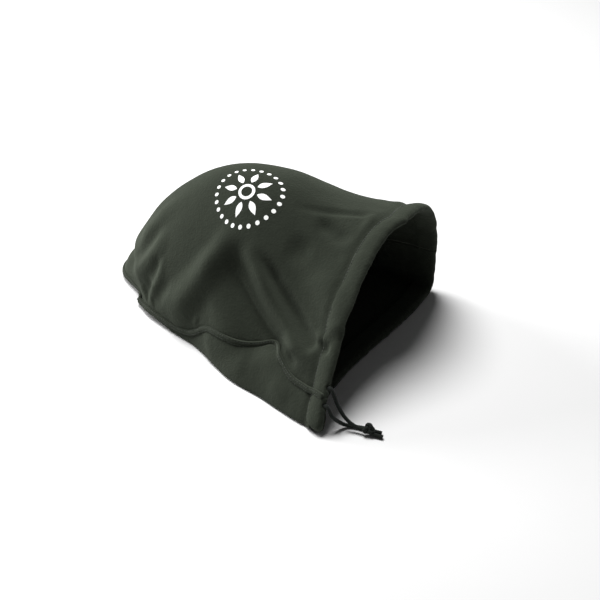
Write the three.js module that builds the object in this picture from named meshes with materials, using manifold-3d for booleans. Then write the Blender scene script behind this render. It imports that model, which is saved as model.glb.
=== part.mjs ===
// Fleece drawstring bag for a helmet, lying on its side as it does with a helmet inside: two panels sewn
// together round three sides, a hem round the mouth that is a tunnel for the drawcord, and the drawcord.
//
// Millimetres, +Z up. +X points out of the mouth and -Y is the slack side, where the drawcord comes out.
// The origin is on the floor, under the middle of the bag.
import * as THREE from 'three';
import { mergeVertices } from 'three/addons/utils/BufferGeometryUtils.js';
import Module from 'manifold-3d';

// Driving sizes
const CLOTH = 2.2; // thickness of the fleece
const GAP = 0.4; // clearance between neighbouring pieces
const SEAM_WIDTH = 8; // the turned and topstitched seam between the two panels
const SEAM_THICK = 4.4;
const FLOOR_TURN = 1; // how far the cloth's turn from floor to slack flank is drawn in
const END_SEAM_HEIGHT = 9; // how far above the floor the seam runs along the closed end
const HEM_WIDTH = 28; // the tunnel round the mouth, from its stitching to the mouth's edge
const HEM_THICK = 11;
const HEM_PROUD = 3; // how far the hem stands out from the panel beside it
const CORD = 5; // diameter of the drawcord
const EXIT_OFFSET = 12; // how far from the seam each end of the drawcord leaves the hem

// Ribs of the bag's form, from the mouth to the closed end. `near` and `far` are where the cloth leaves
// the floor on the slack side and on the tight side, and `crown` is the highest point between them. A flank
// is a curve from the floor to the crown: Lean is how far it starts inwards, Foot how far it starts upwards
// and Round how far the crown's level top reaches, all as shares of the flank's own width or height. Skew
// moves the middle of the slack flank along the bag. Lift is how far the flanks' feet rise off the floor to
// the closed end's seam, as a share of that seam's height.
const RIBS = [
  {
    near: [196, -180], nearLean: 0.1, nearFoot: 0.3, nearRound: 0.28, nearSkew: -19, lift: 0,
    crown: [208, 56, 194], far: [202, 194], farLean: -0.06, farFoot: 0.5, farRound: 0.82,
  },
  {
    near: [112, -146], nearLean: 0.14, nearFoot: 0.28, nearRound: 0.3, nearSkew: -4, lift: 0,
    crown: [112, 56, 188], far: [112, 196], farLean: -0.06, farFoot: 0.5, farRound: 0.7,
  },
  {
    near: [37, -121], nearLean: 0.12, nearFoot: 0.3, nearRound: 0.36, nearSkew: 0, lift: 0,
    crown: [18, 56, 209], far: [25, 192], farLean: -0.06, farFoot: 0.5, farRound: 0.6,
  },
  {
    near: [-30, -80], nearLean: 0.08, nearFoot: 0.34, nearRound: 0.42, nearSkew: 0, lift: 0,
    crown: [-56, 56, 201], far: [-50, 182], farLean: -0.05, farFoot: 0.45, farRound: 0.52,
  },
  {
    near: [-86, -58], nearLean: 0.06, nearFoot: 0.34, nearRound: 0.5, nearSkew: 0, lift: 0.1,
    crown: [-130, 56, 151], far: [-96, 166], farLean: 0, farFoot: 0.42, farRound: 0.5,
  },
  {
    near: [-123, -44], nearLean: 0.24, nearFoot: 0.3, nearRound: 0.5, nearSkew: 0, lift: 0.75,
    crown: [-184, 56, 78], far: [-128, 149], farLean: 0.24, farFoot: 0.32, farRound: 0.5,
  },
  {
    near: [-151, -25], nearLean: 0.45, nearFoot: 0, nearRound: 0.6, nearSkew: 0, lift: 1,
    crown: [-214, 56, END_SEAM_HEIGHT], far: [-151, 128], farLean: 0.45, farFoot: 0, farRound: 0.5,
  },
];

// Where the seam runs on the two flanks, as a place around the rib, at equal steps from mouth to closed end
const SEAM = [
  { near: 0.101, far: 0.87 },
  { near: 0.1, far: 0.872 },
  { near: 0.138, far: 0.876 },
  { near: 0.128, far: 0.88 },
  { near: 0.099, far: 0.886 },
  { near: 0.083, far: 0.894 },
  { near: 0.054, far: 0.906 },
  { near: 0.04, far: 0.92 },
  { near: 0.038, far: 0.934 },
  { near: 0.034, far: 0.95 },
  { near: 0.028, far: 0.966 },
  { near: 0.018, far: 0.976 },
  { near: 0, far: 1 },
];

// Folds of the cloth. Each runs over the form through places given as [along, around]: along is 0 at the
// mouth and 1 at the closed end; around is 0 at the near floor edge, 0.5 on the crown and 1 at the far
// floor edge. `lift` is how far it stands out (a valley is negative), `wide` its half width at both ends,
// and `fade` the share of its length over which it rises from nothing and dies away again.
const FOLDS = [
  {
    name: 'upper end ridge', lift: 4, wide: [24, 18], fade: [0.4, 0.3],
    path: [[0.56, 0.42], [0.716, 0.378], [0.86, 0.36]],
  },
  {
    name: 'upper end valley', lift: -4, wide: [12, 16], fade: [0.4, 0.2],
    path: [[0.66, 0.35], [0.78, 0.3], [0.94, 0.25]],
  },
  {
    name: 'waist before the end', lift: -14, wide: [18, 18], fade: [0.2, 0.2],
    path: [[0.92, 0.24], [0.915, 0.4], [0.915, 0.6], [0.92, 0.8]],
  },
  {
    name: 'first lobe ridge', lift: 6, wide: [14, 18], fade: [0.4, 0.2],
    path: [[0.66, 0.32], [0.73, 0.245], [0.82, 0.2], [0.92, 0.17]],
  },
  {
    name: 'lobe overlap', lift: -9, wide: [10, 14], fade: [0.4, 0.1],
    path: [[0.66, 0.275], [0.657, 0.213], [0.69, 0.17], [0.78, 0.13], [0.9, 0.1]],
  },
  {
    name: 'second lobe ridge', lift: 9, wide: [17, 26], fade: [0.35, 0],
    path: [[0.44, 0.32], [0.475, 0.24], [0.532, 0.177], [0.6, 0.12], [0.7, 0.04]],
  },
  {
    name: 'slack facet', lift: -14, wide: [16, 52], fade: [0.5, 0.2],
    path: [[0.445, 0.31], [0.435, 0.22], [0.4, 0.13], [0.37, 0.06]],
  },
  {
    name: 'slack ridge', lift: 10, wide: [16, 21], fade: [0.35, 0.25],
    path: [[0.475, 0.31], [0.375, 0.232], [0.29, 0.193], [0.168, 0.15], [0.06, 0.11]],
  },
  {
    name: 'slack valley', lift: -7, wide: [12, 17], fade: [0.3, 0.25],
    path: [[0.34, 0.29], [0.282, 0.266], [0.228, 0.239], [0.169, 0.214], [0.04, 0.16]],
  },
  {
    name: 'swell by the mouth', lift: 6, wide: [28, 30], fade: [0.3, 0.2],
    path: [[0.17, 0.32], [0.059, 0.262], [0, 0.21]],
  },
  {
    name: 'dent below the crown', lift: -6, wide: [16, 16], fade: [0.35, 0.35],
    path: [[0.2, 0.41], [0.11, 0.4], [0.03, 0.385]],
  },
  {
    name: 'dent on the flank', lift: -4, wide: [18, 18], fade: [0.45, 0.45],
    path: [[0.25, 0.33], [0.217, 0.336], [0.18, 0.345]],
  },
  {
    name: 'crown crease', lift: -3, wide: [9, 9], fade: [0.4, 0.3],
    path: [[0.27, 0.42], [0.151, 0.472], [0.07, 0.5]],
  },
  {
    name: 'tuck beside the seam', lift: -4, wide: [13, 14], fade: [0.3, 0.3],
    path: [[0.19, 0.15], [0.11, 0.125], [0.04, 0.115]],
  },
  {
    name: 'ridge behind the hem', lift: 3, wide: [12, 12], fade: [0.4, 0.4],
    path: [[0.09, 0.53], [0.07, 0.46], [0.058, 0.4]],
  },
];

// Steps of the faceted surfaces
const ALONG_STEPS = 27;
const AROUND_STEPS = 38;
const SLACK_STEPS = 25; // of the steps around, how many lie on the slack flank
const RIM_STEPS = 3;

const NEAR = 'near';
const FAR = 'far';

// A smooth curve through equally spaced values, by the Catmull-Rom rule
function spline(values, share) {
  const last = values.length - 1;
  const place = THREE.MathUtils.clamp(share, 0, 1) * last;
  const i = Math.min(Math.floor(place), last - 1);
  const f = place - i;
  const b = values[i];
  const c = values[i + 1];
  const a = i > 0 ? values[i - 1] : 2 * b - c;
  const d = i < last - 1 ? values[i + 2] : 2 * c - b;
  return b + 0.5 * f * (c - a + f * (2 * a - 5 * b + 4 * c - d + f * (3 * (b - c) + d - a)));
}

const columns = {
  nearX: RIBS.map((r) => r.near[0]),
  nearY: RIBS.map((r) => r.near[1]),
  nearLean: RIBS.map((r) => r.nearLean),
  nearFoot: RIBS.map((r) => r.nearFoot),
  nearRound: RIBS.map((r) => r.nearRound),
  nearSkew: RIBS.map((r) => r.nearSkew),
  crownX: RIBS.map((r) => r.crown[0]),
  crownY: RIBS.map((r) => r.crown[1]),
  crownZ: RIBS.map((r) => r.crown[2]),
  farX: RIBS.map((r) => r.far[0]),
  farY: RIBS.map((r) => r.far[1]),
  farLean: RIBS.map((r) => r.farLean),
  farFoot: RIBS.map((r) => r.farFoot),
  farRound: RIBS.map((r) => r.farRound),
  farSkew: RIBS.map(() => 0),
  lift: RIBS.map((r) => r.lift * END_SEAM_HEIGHT),
  nearSeam: SEAM.map((row) => row.near),
  farSeam: SEAM.map((row) => row.far),
};

const at = (name, along) => spline(columns[name], along);

// The form without its folds
function form(along, around) {
  const z = Math.max(0, at('lift', along));
  const near = new THREE.Vector3(at('nearX', along), at('nearY', along), z);
  const far = new THREE.Vector3(at('farX', along), at('farY', along), z);
  const crown = new THREE.Vector3(at('crownX', along), at('crownY', along), at('crownZ', along));
  const chord = far.clone().sub(near);
  const share = crown.clone().sub(near).dot(chord) / chord.lengthSq();
  const below = near.clone().addScaledVector(chord, share);
  const rise = crown.clone().sub(below);
  const side = around <= 0.5 ? NEAR : FAR;
  const start = side === NEAR ? near : far;
  const inward = below.sub(start);
  const skew = new THREE.Vector3(at(side + 'Skew', along), 0, 0);
  const low = start.clone().add(skew)
    .addScaledVector(inward, at(side + 'Lean', along))
    .addScaledVector(rise, at(side + 'Foot', along));
  const high = crown.clone().add(skew).addScaledVector(inward, -at(side + 'Round', along));
  const t = 2 * Math.min(around, 1 - around);
  const s = 1 - t;
  return start.clone().multiplyScalar(s * s * s)
    .addScaledVector(low, 3 * s * s * t)
    .addScaledVector(high, 3 * s * t * t)
    .addScaledVector(crown, t * t * t);
}

// The outward direction of a surface given as a function of along and around
function normalOf(surface, along, around) {
  const u = THREE.MathUtils.clamp(along, 0.004, 0.988);
  const v = THREE.MathUtils.clamp(around, 0.006, 0.994);
  const e = 0.004;
  const lengthwise = surface(u + e, v).sub(surface(u - e, v));
  const crosswise = surface(u, v + e).sub(surface(u, v - e));
  return crosswise.cross(lengthwise).normalize();
}

const FOLD_SAMPLES = 24;
const END_CALM = 0.16; // share of the length next to the closed end over which the folds die away

const foldLines = FOLDS.map((fold) => {
  const alongs = fold.path.map((place) => place[0]);
  const arounds = fold.path.map((place) => place[1]);
  const points = [];
  for (let i = 0; i <= FOLD_SAMPLES; i++) {
    const share = i / FOLD_SAMPLES;
    points.push(form(spline(alongs, share), spline(arounds, share)));
  }
  return points;
});

const ease = (x) => x * x * (3 - 2 * x);

const ramp = (x, length) => (length > 0 ? ease(THREE.MathUtils.clamp(x / length, 0, 1)) : 1);

// How far the folds lift the cloth off the form at a point
function foldLift(point) {
  let total = 0;
  FOLDS.forEach((fold, k) => {
    const line = foldLines[k];
    let best = Infinity;
    let bestShare = 0;
    for (let i = 0; i < FOLD_SAMPLES; i++) {
      const a = line[i];
      const step = line[i + 1].clone().sub(a);
      const to = point.clone().sub(a);
      const f = THREE.MathUtils.clamp(to.dot(step) / step.lengthSq(), 0, 1);
      const distance = to.addScaledVector(step, -f).length();
      if (distance < best) {
        best = distance;
        bestShare = (i + f) / FOLD_SAMPLES;
      }
    }
    const wide = THREE.MathUtils.lerp(fold.wide[0], fold.wide[1], bestShare);
    const x = Math.min(1, best / wide);
    const strength = ramp(bestShare, fold.fade[0]) * ramp(1 - bestShare, fold.fade[1]);
    total += fold.lift * (1 - x * x) ** 2 * strength;
  });
  return total;
}

// The outer face of the cloth. The folds die away towards the seam of the closed end.
function cloth(along, around) {
  const point = form(along, around);
  const lift = foldLift(point) * ramp(1 - along, END_CALM);
  if (lift !== 0) {
    point.addScaledVector(normalOf(form, along, around), lift);
  }
  point.z = Math.max(0, point.z);
  return point;
}

// A closed body gathered from points and triangles
class Solid {
  points = [];
  index = [];

  add(point) {
    this.points.push(point);
    return this.points.length - 1;
  }

  quad(a, b, c, d) {
    this.index.push(a, b, c, a, c, d);
  }

  geometry() {
    const raw = new THREE.BufferGeometry();
    const numbers = this.points.flatMap((p) => p.toArray());
    raw.setAttribute('position', new THREE.Float32BufferAttribute(numbers, 3));
    raw.setIndex(this.index);
    return raw;
  }
}

// Whether the second diagonal of a quad passes closer to its true middle than the first one
function turned(a, b, c, d, middle) {
  const first = a.clone().lerp(c, 0.5).distanceTo(middle);
  const second = b.clone().lerp(d, 0.5).distanceTo(middle);
  return second < first;
}

// A sheet with thickness: two grids of points facing outwards and inwards, joined round their borders.
// With `loop` the rows close on themselves, as in a tunnel. `middles` holds the true middle of each quad of
// the outer grid; the quad is split along the diagonal that passes closer to it, so that folds stay sharp.
function sheet(outer, inner, { loop = false, middles = null } = {}) {
  const solid = new Solid();
  const rows = outer.length;
  const width = outer[0].length;
  const out = outer.map((row) => row.map((p) => solid.add(p)));
  const back = inner.map((row) => row.map((p) => solid.add(p)));
  const spans = loop ? width : width - 1;
  for (let i = 0; i + 1 < rows; i++) {
    for (let j = 0; j < spans; j++) {
      const k = (j + 1) % width;
      if (middles && turned(outer[i][j], outer[i][k], outer[i + 1][k], outer[i + 1][j], middles[i][j])) {
        solid.quad(out[i][k], out[i + 1][k], out[i + 1][j], out[i][j]);
        solid.quad(back[i + 1][j], back[i + 1][k], back[i][k], back[i][j]);
      } else {
        solid.quad(out[i][j], out[i][k], out[i + 1][k], out[i + 1][j]);
        solid.quad(back[i][j], back[i + 1][j], back[i + 1][k], back[i][k]);
      }
    }
  }
  const end = rows - 1;
  for (let j = 0; j < spans; j++) {
    const k = (j + 1) % width;
    solid.quad(out[0][j], back[0][j], back[0][k], out[0][k]);
    solid.quad(out[end][j], out[end][k], back[end][k], back[end][j]);
  }
  if (!loop) {
    for (let i = 0; i < end; i++) {
      solid.quad(out[i][0], out[i + 1][0], back[i + 1][0], back[i][0]);
      solid.quad(out[i][width - 1], back[i][width - 1], back[i + 1][width - 1], out[i + 1][width - 1]);
    }
  }
  return solid.geometry();
}

// A bar through rings of points, closed with a flat cap at both ends
function bar(rings) {
  const solid = new Solid();
  const width = rings[0].length;
  const rows = rings.map((ring) => ring.map((p) => solid.add(p)));
  for (let i = 0; i + 1 < rows.length; i++) {
    for (let j = 0; j < width; j++) {
      const k = (j + 1) % width;
      solid.quad(rows[i][j], rows[i][k], rows[i + 1][k], rows[i + 1][j]);
    }
  }
  const first = rows[0];
  const last = rows[rows.length - 1];
  for (let j = 1; j + 1 < width; j++) {
    solid.index.push(first[0], first[j + 1], first[j]);
    solid.index.push(last[0], last[j], last[j + 1]);
  }
  return solid.geometry();
}

// A round cord along a smooth curve through the points
function cordTube(points, diameter, steps, sides = 10) {
  const circle = new THREE.Shape();
  for (let k = 0; k < sides; k++) {
    const angle = (2 * Math.PI * k) / sides;
    const x = (diameter / 2) * Math.cos(angle);
    const y = (diameter / 2) * Math.sin(angle);
    if (k === 0) {
      circle.moveTo(x, y);
    } else {
      circle.lineTo(x, y);
    }
  }
  circle.closePath();
  const path = new THREE.CatmullRomCurve3(points, false, 'centripetal');
  const tube = new THREE.ExtrudeGeometry(circle, { steps, bevelEnabled: false, extrudePath: path });
  return joined(tube);
}

function joined(geometry) {
  const bare = geometry.clone();
  bare.deleteAttribute('normal');
  bare.deleteAttribute('uv');
  return mergeVertices(bare, 1e-4);
}

const wasm = await Module();
wasm.setup();

function toManifold(geometry) {
  const index = geometry.index.array;
  const position = geometry.attributes.position.array;
  const mesh = new wasm.Mesh({
    numProp: 3,
    vertProperties: new Float32Array(position),
    triVerts: new Uint32Array(index),
  });
  return new wasm.Manifold(mesh);
}

function cut(geometry, cutters) {
  let body = toManifold(geometry);
  cutters.forEach((cutter) => {
    body = body.subtract(toManifold(cutter));
  });
  const mesh = body.getMesh();
  const result = new THREE.BufferGeometry();
  result.setAttribute('position', new THREE.Float32BufferAttribute(Array.from(mesh.vertProperties), 3));
  result.setIndex(Array.from(mesh.triVerts));
  return result;
}

const part = new THREE.Group();
part.name = 'helmet_bag';

function place(name, geometry, look) {
  geometry.computeVertexNormals();
  const mesh = new THREE.Mesh(geometry, new THREE.MeshStandardMaterial(look));
  mesh.name = name;
  part.add(mesh);
}

const FLEECE = { color: 0x3f443d, roughness: 0.95, metalness: 0 };
const FLEECE_LOWER = { color: 0x383d37, roughness: 0.95, metalness: 0 };
const FLEECE_HEM = { color: 0x40463e, roughness: 0.95, metalness: 0 };
const THREAD = { color: 0x3b403a, roughness: 0.9, metalness: 0 };
const CORD_LOOK = { color: 0x2b322d, roughness: 0.8, metalness: 0 };

// How far along the bag the hem's stitching lies, at a place around
function hemShare(around, distance) {
  const e = 0.02;
  return (distance * e) / form(e, around).sub(form(0, around)).length();
}

const HEM_BACK = HEM_WIDTH + 2 * GAP; // where the panels start, measured from the mouth's edge

const SEAM_REACH = SEAM_WIDTH / 2 + 2.4 * GAP;
// How much further the upper panel stops from the end seam in its two corners
const CORNER_RELIEF = { near: 4, far: 3.4 };
const CORNER_SHIFT = 2.5; // how far the seam's band stands outside the corners

const END_SAMPLES = 60;
const endLine = Array.from({ length: END_SAMPLES + 1 }, (_, i) => form(1, i / END_SAMPLES));

// Share of the length at which the form is a distance away from the closed end's seam
function endShare(around, distance) {
  let low = 0.8;
  let high = 1;
  for (let pass = 0; pass < 16; pass++) {
    const middle = (low + high) / 2;
    const point = form(middle, around);
    const closest = Math.min(...endLine.map((p) => p.distanceTo(point)));
    if (closest > distance) {
      low = middle;
    } else {
      high = middle;
    }
  }
  return low;
}

// Where the upper panel's columns lie, as shares of its width: closer together on the slack flank
const columnShares = Array.from({ length: AROUND_STEPS + 1 }, (_, j) => (
  j <= SLACK_STEPS ? (0.5 * j) / SLACK_STEPS : 0.5 + (0.5 * (j - SLACK_STEPS)) / (AROUND_STEPS - SLACK_STEPS)
));

const mouthPlace = (j) => THREE.MathUtils.lerp(SEAM[0].near, SEAM[0].far, columnShares[j]);

const firstRow = columnShares.map((_, j) => hemShare(mouthPlace(j), HEM_BACK));

const lastRow = columnShares.map((share) => {
  const nearCorner = 1 - ramp(share, 0.15);
  const farCorner = 1 - ramp(1 - share, 0.15);
  return endShare(share, SEAM_REACH + CORNER_RELIEF.near * nearCorner + CORNER_RELIEF.far * farCorner);
});

// Share of the length at which a row of the upper panel crosses one of its columns
function rowShare(i, j) {
  return THREE.MathUtils.lerp(firstRow[j], lastRow[j], i / ALONG_STEPS);
}

// The seam's line round three sides, with the direction across it that points onto the upper panel.
// The band stands up rather than lying flat where the panels meet in a corner.
function seamLine() {
  const stations = [];
  for (let i = 0; i <= ALONG_STEPS; i++) {
    const along = rowShare(Math.max(i, 0.05), 0);
    stations.push({ side: NEAR, along, around: at('nearSeam', along) });
  }
  for (let j = 0; j <= AROUND_STEPS; j += 2) {
    stations.push({ side: 'end', along: 1, around: columnShares[j] });
  }
  for (let i = ALONG_STEPS; i > -2; i -= 2) {
    const along = rowShare(Math.max(i, 0.05), AROUND_STEPS);
    stations.push({ side: FAR, along, around: at('farSeam', along) });
  }
  stations.forEach((s) => {
    s.point = cloth(s.along, s.around);
    s.normal = normalOf(cloth, s.along, s.around);
  });
  stations.forEach((s, i) => {
    const before = stations[Math.max(0, i - 1)].point;
    const after = stations[Math.min(stations.length - 1, i + 1)].point;
    const tangent = after.clone().sub(before).normalize();
    const leaving = after.clone().sub(s.point);
    const cosine = leaving.lengthSq() > 0 ? leaving.normalize().dot(tangent) : 1;
    s.mitre = 1 / Math.max(0.6, cosine);
    const upright = new THREE.Vector3(-tangent.y, tangent.x, 0).normalize();
    const flatness = ramp(s.normal.z - 0.5, 0.25);
    s.shift = upright.clone().multiplyScalar(CORNER_SHIFT * flatness);
    s.normal.lerp(upright.setZ(0.2), flatness).normalize();
    s.across = tangent.clone().cross(s.normal).normalize();
    s.normal = s.across.clone().cross(tangent).normalize();
  });
  stations.forEach((s) => s.point.add(s.shift));
  return stations;
}

const seam = seamLine();

// Place around at which a panel ends beside the seam, a distance square to the seam away from its middle
function beside(along, side, distance) {
  const e = 0.002;
  const line = (u) => at(side + 'Seam', u);
  const low = THREE.MathUtils.clamp(along - e, 0, 1);
  const high = THREE.MathUtils.clamp(along + e, 0, 1);
  const here = line(along);
  const run = cloth(high, line(high)).sub(cloth(low, line(low))).normalize();
  const across = cloth(along, here + e).sub(cloth(along, here - e)).divideScalar(2 * e);
  across.addScaledVector(run, -across.dot(run));
  return here + distance / across.length();
}

function upperPanel() {
  const places = [];
  for (let i = 0; i <= ALONG_STEPS; i++) {
    places.push(columnShares.map((share, j) => {
      const along = rowShare(i, j);
      const around = THREE.MathUtils.lerp(
        beside(along, NEAR, SEAM_REACH),
        beside(along, FAR, -SEAM_REACH),
        share,
      );
      return new THREE.Vector2(along, around);
    }));
  }
  const outer = places.map((row) => row.map((p) => cloth(p.x, p.y)));
  const inner = places.map((row, i) => row.map((p, j) => (
    outer[i][j].clone().addScaledVector(normalOf(cloth, p.x, p.y), -CLOTH)
  )));
  const middles = places.slice(1).map((row, i) => row.slice(1).map((p, j) => {
    const middle = p.clone().add(row[j]).add(places[i][j]).add(places[i][j + 1]).divideScalar(4);
    return cloth(middle.x, middle.y);
  }));
  return sheet(outer, inner, { middles });
}

// The lower panel lies flat on the floor and turns up all round to the seam
function lowerPanel() {
  const outer = seam.map((s) => {
    const edge = s.point.clone().addScaledVector(s.across, -SEAM_REACH * s.mitre);
    const floor = cloth(s.along, s.side === FAR ? 1 : s.side === NEAR ? 0 : s.around);
    floor.z = 0;
    if (s.side !== 'end') {
      floor.y += s.side === NEAR ? FLOOR_TURN : -GAP;
    }
    const column = [];
    for (let r = 0; r <= RIM_STEPS; r++) {
      const share = r / RIM_STEPS;
      const straight = floor.clone().lerp(edge, share);
      if (s.side !== 'end') {
        const from = s.side === NEAR ? 0 : 1;
        const curved = cloth(s.along, THREE.MathUtils.lerp(from, s.around, share));
        const target = cloth(s.along, s.around);
        const foot = cloth(s.along, from);
        const chord = foot.lerp(target, share);
        straight.add(curved.sub(chord));
      }
      straight.z = Math.max(0, straight.z);
      column.push(straight);
    }
    return column;
  });
  const normals = outer.map((column, i) => column.map((p, r) => {
    const before = outer[Math.max(0, i - 1)][r];
    const after = outer[Math.min(outer.length - 1, i + 1)][r];
    const low = column[Math.max(0, r - 1)];
    const high = column[Math.min(RIM_STEPS, r + 1)];
    return high.clone().sub(low).cross(after.clone().sub(before)).normalize();
  }));
  const inner = outer.map((column, i) => column.map((p, r) => {
    const normal = normals[i][r].lerp(seam[i].normal, (r / RIM_STEPS) ** 2).normalize();
    const moved = p.clone().addScaledVector(normal, -CLOTH);
    moved.z = r === 0 ? CLOTH : Math.max(CLOTH + 0.5 * r, moved.z);
    return moved;
  }));
  const solid = new Solid();
  const out = outer.map((column) => column.map((p) => solid.add(p)));
  const back = inner.map((column) => column.map((p) => solid.add(p)));
  const last = out.length - 1;
  for (let i = 0; i < last; i++) {
    for (let r = 0; r < RIM_STEPS; r++) {
      solid.quad(out[i][r], out[i][r + 1], out[i + 1][r + 1], out[i + 1][r]);
      solid.quad(back[i][r], back[i + 1][r], back[i + 1][r + 1], back[i][r + 1]);
    }
    const top = RIM_STEPS;
    solid.quad(out[i][top], back[i][top], back[i + 1][top], out[i + 1][top]);
  }
  for (let r = 0; r < RIM_STEPS; r++) {
    solid.quad(out[0][r], back[0][r], back[0][r + 1], out[0][r + 1]);
    solid.quad(out[last][r], out[last][r + 1], back[last][r + 1], back[last][r]);
  }
  const mouthEdge = lowerLine.filter((s) => s.onFloor).map((s) => hemSpot(s, HEM_WIDTH / 2 - HEM_BACK, 0));
  const edgeAt = (z) => mouthEdge.map((p) => solid.add(p.clone().setZ(z)));
  const low = [...out.map((column) => column[0]), ...edgeAt(0)];
  const high = [...back.map((column) => column[0]), ...edgeAt(CLOTH)];
  for (let k = last; k < low.length; k++) {
    const next = (k + 1) % low.length;
    solid.quad(low[k], high[k], high[next], low[next]);
  }
  const plan = [...outer.map((column) => column[0]), ...mouthEdge].map((p) => new THREE.Vector2(p.x, p.y));
  THREE.ShapeUtils.triangulateShape(plan, []).forEach((corners) => {
    const upward = THREE.ShapeUtils.area(corners.map((k) => plan[k])) > 0;
    const [a, b, c] = upward ? corners : corners.reverse();
    solid.index.push(low[a], low[c], low[b]);
    solid.index.push(high[a], high[b], high[c]);
  });
  return solid.geometry();
}

function sideSeam() {
  const half = SEAM_WIDTH / 2;
  const rise = SEAM_THICK - CLOTH;
  return bar(seam.map((s) => {
    const spot = (across, height) => s.point.clone()
      .addScaledVector(s.across, across * s.mitre)
      .addScaledVector(s.normal, height);
    return [
      spot(-half, -CLOTH),
      spot(half, -CLOTH),
      spot(half, 0.2),
      spot(half * 0.6, rise),
      spot(-half * 0.6, rise),
      spot(-half, 0.2),
    ].reverse();
  }));
}

// The tunnel's cross-section: distances towards the mouth and outwards from its middle
const HEM_OUTSIDE = [
  [-13.4, -2.4], [-13.4, 2.4], [-5, 4.7], [6, 5.5],
  [13.2, 2.4], [13.2, -2.4], [6, -5.5], [-5, -4.7],
];
const HEM_INSIDE = [
  [-9.5, -0.8], [-9.5, 0.8], [-4, 2.5], [6, 3.3],
  [11, 1.2], [11, -1.2], [6, -3.3], [-4, -2.5],
];
const CORD_SPOT = 5; // how far the drawcord lies from the tunnel's middle towards the mouth

// Direction from the panel towards the mouth's edge
function mouthward(around) {
  return form(0, around).sub(form(0.03, around)).normalize();
}

// Middle of the tunnel where it follows a flank or the crown
function hemMiddle(around) {
  const along = hemShare(around, HEM_WIDTH / 2);
  const inset = HEM_THICK / 2 - HEM_PROUD;
  return cloth(along, around).addScaledVector(normalOf(form, along, around), -inset);
}

function upperHemLine() {
  return columnShares.map((_, j) => {
    const around = mouthPlace(j);
    return { point: hemMiddle(around), mouthward: mouthward(around) };
  });
}

const FLOOR_HEM_STEPS = 13;
// The hem is drawn back on the floor: how far at most, where this starts on both sides, and the lengths
// over which it grows from there
const FLOOR_BOW = { depth: 26, far: 176, near: -158, farGrowth: 250, nearGrowth: 78 };

function floorBow(y) {
  const fromFar = ramp(FLOOR_BOW.far - y, FLOOR_BOW.farGrowth);
  const fromNear = ramp(y - FLOOR_BOW.near, FLOOR_BOW.nearGrowth);
  return FLOOR_BOW.depth * fromFar * fromNear;
}

// The lower half of the tunnel comes down the far flank, crosses the floor and goes up the near flank,
// with a rounded bend where it leaves the floor
function lowerHemLine() {
  const floorZ = HEM_THICK / 2;
  const bend = { near: 0.036, far: 0.962 };
  const knots = [];
  for (let i = 0; i <= 5; i++) {
    knots.push(hemMiddle(THREE.MathUtils.lerp(SEAM[0].far, bend.far, i / 5)));
  }
  const corner = (around) => {
    const flank = hemMiddle(around);
    const inner = hemMiddle(around + (around < 0.5 ? 0.02 : -0.02));
    const down = flank.clone().sub(inner);
    return flank.addScaledVector(down, (floorZ - flank.z) / down.z);
  };
  const farCorner = corner(bend.far);
  const nearCorner = corner(bend.near);
  const run = nearCorner.clone().sub(farCorner);
  const farReach = farCorner.distanceTo(hemMiddle(bend.far)) / run.length();
  const nearReach = nearCorner.distanceTo(hemMiddle(bend.near)) / run.length();
  const farTurn = new THREE.QuadraticBezierCurve3(
    hemMiddle(bend.far), farCorner, farCorner.clone().addScaledVector(run, farReach));
  const nearTurn = new THREE.QuadraticBezierCurve3(
    nearCorner.clone().addScaledVector(run, -nearReach), nearCorner, hemMiddle(bend.near));
  knots.push(...farTurn.getPoints(6).slice(1));
  for (let i = 1; i < FLOOR_HEM_STEPS; i++) {
    const point = farTurn.v2.clone().lerp(nearTurn.v0, i / FLOOR_HEM_STEPS);
    point.x -= floorBow(point.y);
    knots.push(point);
  }
  knots.push(...nearTurn.getPoints(6));
  for (let i = 1; i <= 4; i++) {
    knots.push(hemMiddle(THREE.MathUtils.lerp(bend.near, SEAM[0].near, i / 4)));
  }
  return knots.map((point, i) => ({
    point,
    mouthward: mouthward(1).lerp(mouthward(0), i / (knots.length - 1)).normalize(),
    onFloor: point.z <= floorZ,
  }));
}

// Gives each station its direction outwards, and makes its direction to the mouth square to the line
function framed(stations) {
  stations.forEach((s, i) => {
    const before = stations[Math.max(0, i - 1)].point;
    const after = stations[Math.min(stations.length - 1, i + 1)].point;
    s.tangent = after.clone().sub(before).normalize();
    s.mouthward.addScaledVector(s.tangent, -s.mouthward.dot(s.tangent)).normalize();
    s.outward = s.mouthward.clone().cross(s.tangent).normalize();
  });
  return stations;
}

function hemSpot(station, mouthwards, outwards) {
  return station.point.clone()
    .addScaledVector(station.mouthward, mouthwards)
    .addScaledVector(station.outward, outwards);
}

const upperLine = framed(upperHemLine());
const lowerLine = framed(lowerHemLine());

// The two halves of the hem stop short of each other at the seams
[upperLine, lowerLine].forEach((line) => {
  line[0].point.addScaledVector(line[0].tangent, GAP / 2);
  line[line.length - 1].point.addScaledVector(line[line.length - 1].tangent, -GAP / 2);
});

function hem(line) {
  const onFloor = (p) => p.setZ(Math.max(0, p.z));
  const rings = (profile) => line.map((s) => profile.map(([m, o]) => onFloor(hemSpot(s, m, o))));
  return sheet(rings(HEM_OUTSIDE), rings(HEM_INSIDE), { loop: true });
}

// A place on a line of stations at a distance from its start
function stationAt(line, distance) {
  let left = distance;
  for (let i = 0; i + 1 < line.length; i++) {
    const length = line[i].point.distanceTo(line[i + 1].point);
    if (left <= length) {
      const share = left / length;
      return {
        point: line[i].point.clone().lerp(line[i + 1].point, share),
        mouthward: line[i].mouthward.clone().lerp(line[i + 1].mouthward, share).normalize(),
        outward: line[i].outward.clone().lerp(line[i + 1].outward, share).normalize(),
        next: i + 1,
      };
    }
    left -= length;
  }
  throw new Error('the line is shorter than the distance asked for');
}

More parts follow.
